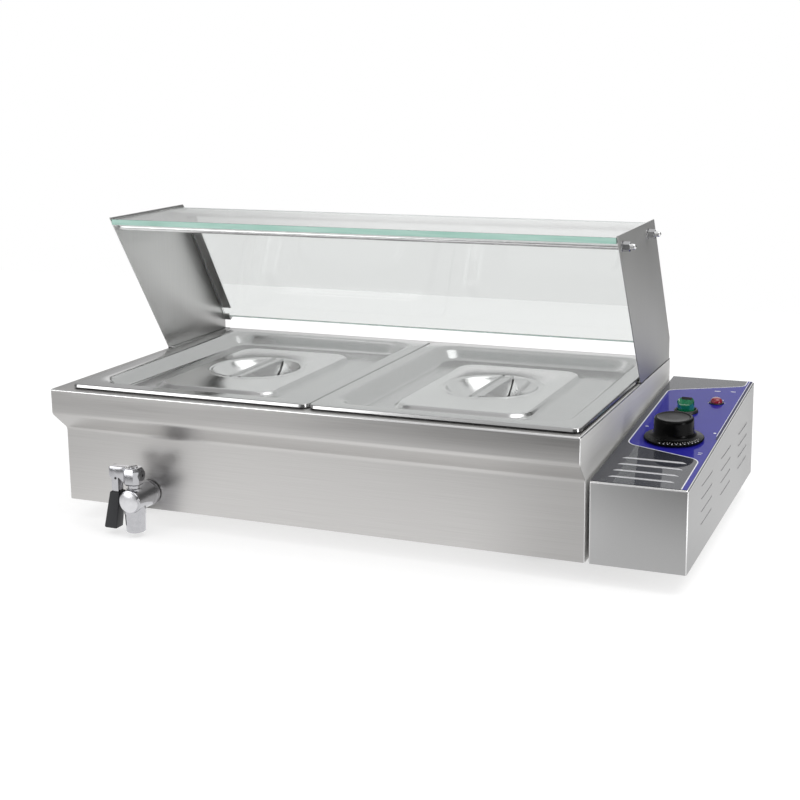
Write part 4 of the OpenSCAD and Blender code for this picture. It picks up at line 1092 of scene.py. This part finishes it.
def make_floor():
    """A white table, bright enough to vanish into the backdrop away from the shadow."""
    mesh = bpy.data.meshes.new("floor")
    x0, x1, y0, y1 = TABLE
    mesh.from_pydata([(x0, y0, 0), (x1, y0, 0), (x1, y1, 0), (x0, y1, 0)], [], [(0, 1, 2, 3)])
    material = bpy.data.materials.new("floor")
    clear_nodes(material)
    output = add_node(material, "OutputMaterial")
    diffuse = add_node(material, "BsdfDiffuse")
    set_inputs(diffuse, {"Color": TABLE_GREY})
    glow = add_node(material, "Emission")
    set_inputs(glow, {"Color": TABLE_GLOW})
    path = add_node(material, "LightPath")
    camera_ray, glass_ray = path.outputs["Is Camera Ray"], path.outputs["Is Transmission Ray"]
    link(material, weighted(material, glass_ray, GLOW_THROUGH_GLASS, camera_ray), glow.inputs["Strength"])
    add = add_node(material, "AddShader")
    link(material, diffuse.outputs[0], add.inputs[0])
    link(material, glow.outputs[0], add.inputs[1])
    mirrored = add_node(material, "Emission")
    link(material, mirrored_floor(material), mirrored.inputs["Strength"])
    choice = add_node(material, "MixShader")
    bounced = two_values(material, "SUBTRACT", path.outputs["Is Glossy Ray"], glass_ray)
    link(material, bounced, choice.inputs[0])
    link(material, add.outputs[0], choice.inputs[1])
    link(material, mirrored.outputs[0], choice.inputs[2])
    link(material, choice.outputs[0], output.inputs["Surface"])
    mesh.materials.append(material)
    add_object("floor", mesh)


def mirrored_floor(owner):
    """How bright metal sees the table, as fades over its length and width."""
    where = add_node(owner, "TexCoord")
    split = add_node(owner, "SeparateXYZ")
    link(owner, where.outputs["Object"], split.inputs[0])
    x, y = split.outputs["X"], split.outputs["Y"]
    far = fade(owner, weighted(owner, y, TABLE_SLANT, x), TABLE_FAR)
    near = two_values(owner, "MINIMUM", far, fade(owner, x, TABLE_BESIDE))
    sides = product(owner, fade(owner, x, TABLE_LEFT), near, fade(owner, x, TABLE_EDGE))
    front = product(owner, fade(owner, y, TABLE_FRONT), sides, fade(owner, y, TABLE_BEFORE))
    rear = product(owner, fade(owner, y, TABLE_REAR), fade(owner, x, TABLE_REAR_RIGHT))
    return two_values(owner, "ADD", front, rear)


def fade(owner, value, limits):
    """A smooth step between two strengths."""
    ramp = add_node(owner, "MapRange")
    ramp.interpolation_type = "SMOOTHSTEP"
    set_inputs(ramp, dict(zip(("From Min", "From Max", "To Min", "To Max"), limits)))
    link(owner, value, ramp.inputs["Value"])
    return ramp.outputs["Result"]


def weighted(owner, value, factor, other):
    """A value times a factor, plus another value."""
    node = add_node(owner, "Math")
    node.operation = "MULTIPLY_ADD"
    link(owner, value, node.inputs[0])
    node.inputs[1].default_value = factor
    link(owner, other, node.inputs[2])
    return node.outputs[0]


def product(owner, first, *others):
    for other in others:
        first = two_values(owner, "MULTIPLY", first, other)
    return first


def two_values(owner, operation, first, second):
    node = add_node(owner, "Math")
    node.operation = operation
    link(owner, first, node.inputs[0])
    link(owner, second, node.inputs[1])
    return node.outputs[0]


def make_world():
    """White backdrop; metal mirrors a room that dims in front, above, sideways and at the horizon."""
    world = bpy.data.worlds.new("studio")
    bpy.context.scene.world = world
    clear_nodes(world)
    output = add_node(world, "OutputWorld")
    background = add_node(world, "Background")
    where = add_node(world, "TexCoord")
    split = add_node(world, "SeparateXYZ")
    link(world, where.outputs["Generated"], split.inputs[0])
    x, y, z = (split.outputs[name] for name in "XYZ")
    heights = product(world, fade(world, z, ROOM_ABOVE), fade(world, z, ROOM_BELOW))
    right = fade(world, weighted(world, z, ROOM_SLANT, x), ROOM_RIGHT)
    room = product(world, fade(world, y, ROOM_DEPTH), heights, fade(world, x, ROOM_LEFT), right)
    path = add_node(world, "LightPath")
    mirrored = add_node(world, "Mix")
    set_inputs(mirrored, {"A": AMBIENT})
    link(world, path.outputs["Is Glossy Ray"], mirrored.inputs["Factor"])
    link(world, room, mirrored.inputs["B"])
    seen = two_values(world, "MAXIMUM", path.outputs["Is Camera Ray"], path.outputs["Is Transmission Ray"])
    level = two_values(world, "MAXIMUM", seen, mirrored.outputs["Result"])
    link(world, level, background.inputs["Strength"])
    set_inputs(background, {"Color": (1, 1, 1, 1)})
    link(world, background.outputs[0], output.inputs["Surface"])


def make_light(name, place, size, power):
    data = bpy.data.lights.new(name, "AREA")
    data.shape = "RECTANGLE"
    data.size, data.size_y = size
    data.energy = power
    lamp = add_object(name, data)
    lamp.location = place
    lamp.rotation_mode = "QUATERNION"
    lamp.rotation_quaternion = (Vector(LIGHT_TARGET) - Vector(place)).to_track_quat("-Z", "Y")


def make_camera():
    """The photograph's viewpoint."""
    azimuth, elevation, roll = (radians(a) for a in CAMERA_ANGLES)
    forward = Vector((-sin(azimuth) * cos(elevation), cos(azimuth) * cos(elevation), -sin(elevation)))
    level = forward.cross(Vector((0, 0, 1))).normalized()
    upright = level.cross(forward)
    right = cos(roll) * level + sin(roll) * upright
    up = cos(roll) * upright - sin(roll) * level
    data = bpy.data.cameras.new("camera")
    data.sensor_width = SENSOR
    data.lens = SENSOR * FOCAL_PIXELS / PICTURE
    data.shift_y = SHIFT_PIXELS / PICTURE
    camera = add_object("camera", data)
    turn = Matrix((right, up, -forward)).transposed().to_4x4()
    camera.matrix_world = Matrix.Translation(metres(CAMERA_PLACE)) @ turn
    bpy.context.scene.camera = camera


# scene

make_camera()
make_world()
make_floor()
make_light("front_softbox", (-1.3, -1.75, 0.55), (1.2, 0.9), 8.5)
make_light("right_softbox", (1.9, -0.75, 0.45), (0.5, 0.8), 6)
make_light("top_softbox", (0.7, -0.1, 1.45), (1.1, 1.1), 6)
make_casing()
for side in LID_CORNERS:
    make_lid(side)
make_glass()
make_box()
make_louvres()
make_film()
make_film_print()
make_knob()
make_knob_scale()
make_switch()
make_lamp()
for side in LID_CORNERS:
    make_handle(side)
for side in PANEL_X:
    make_guard(side)
make_clips()
make_rods()
make_feet()
make_tap()
make_lever()
make_lever_fittings()
make_grip()

bpy.context.scene.view_settings.view_transform = "Standard"
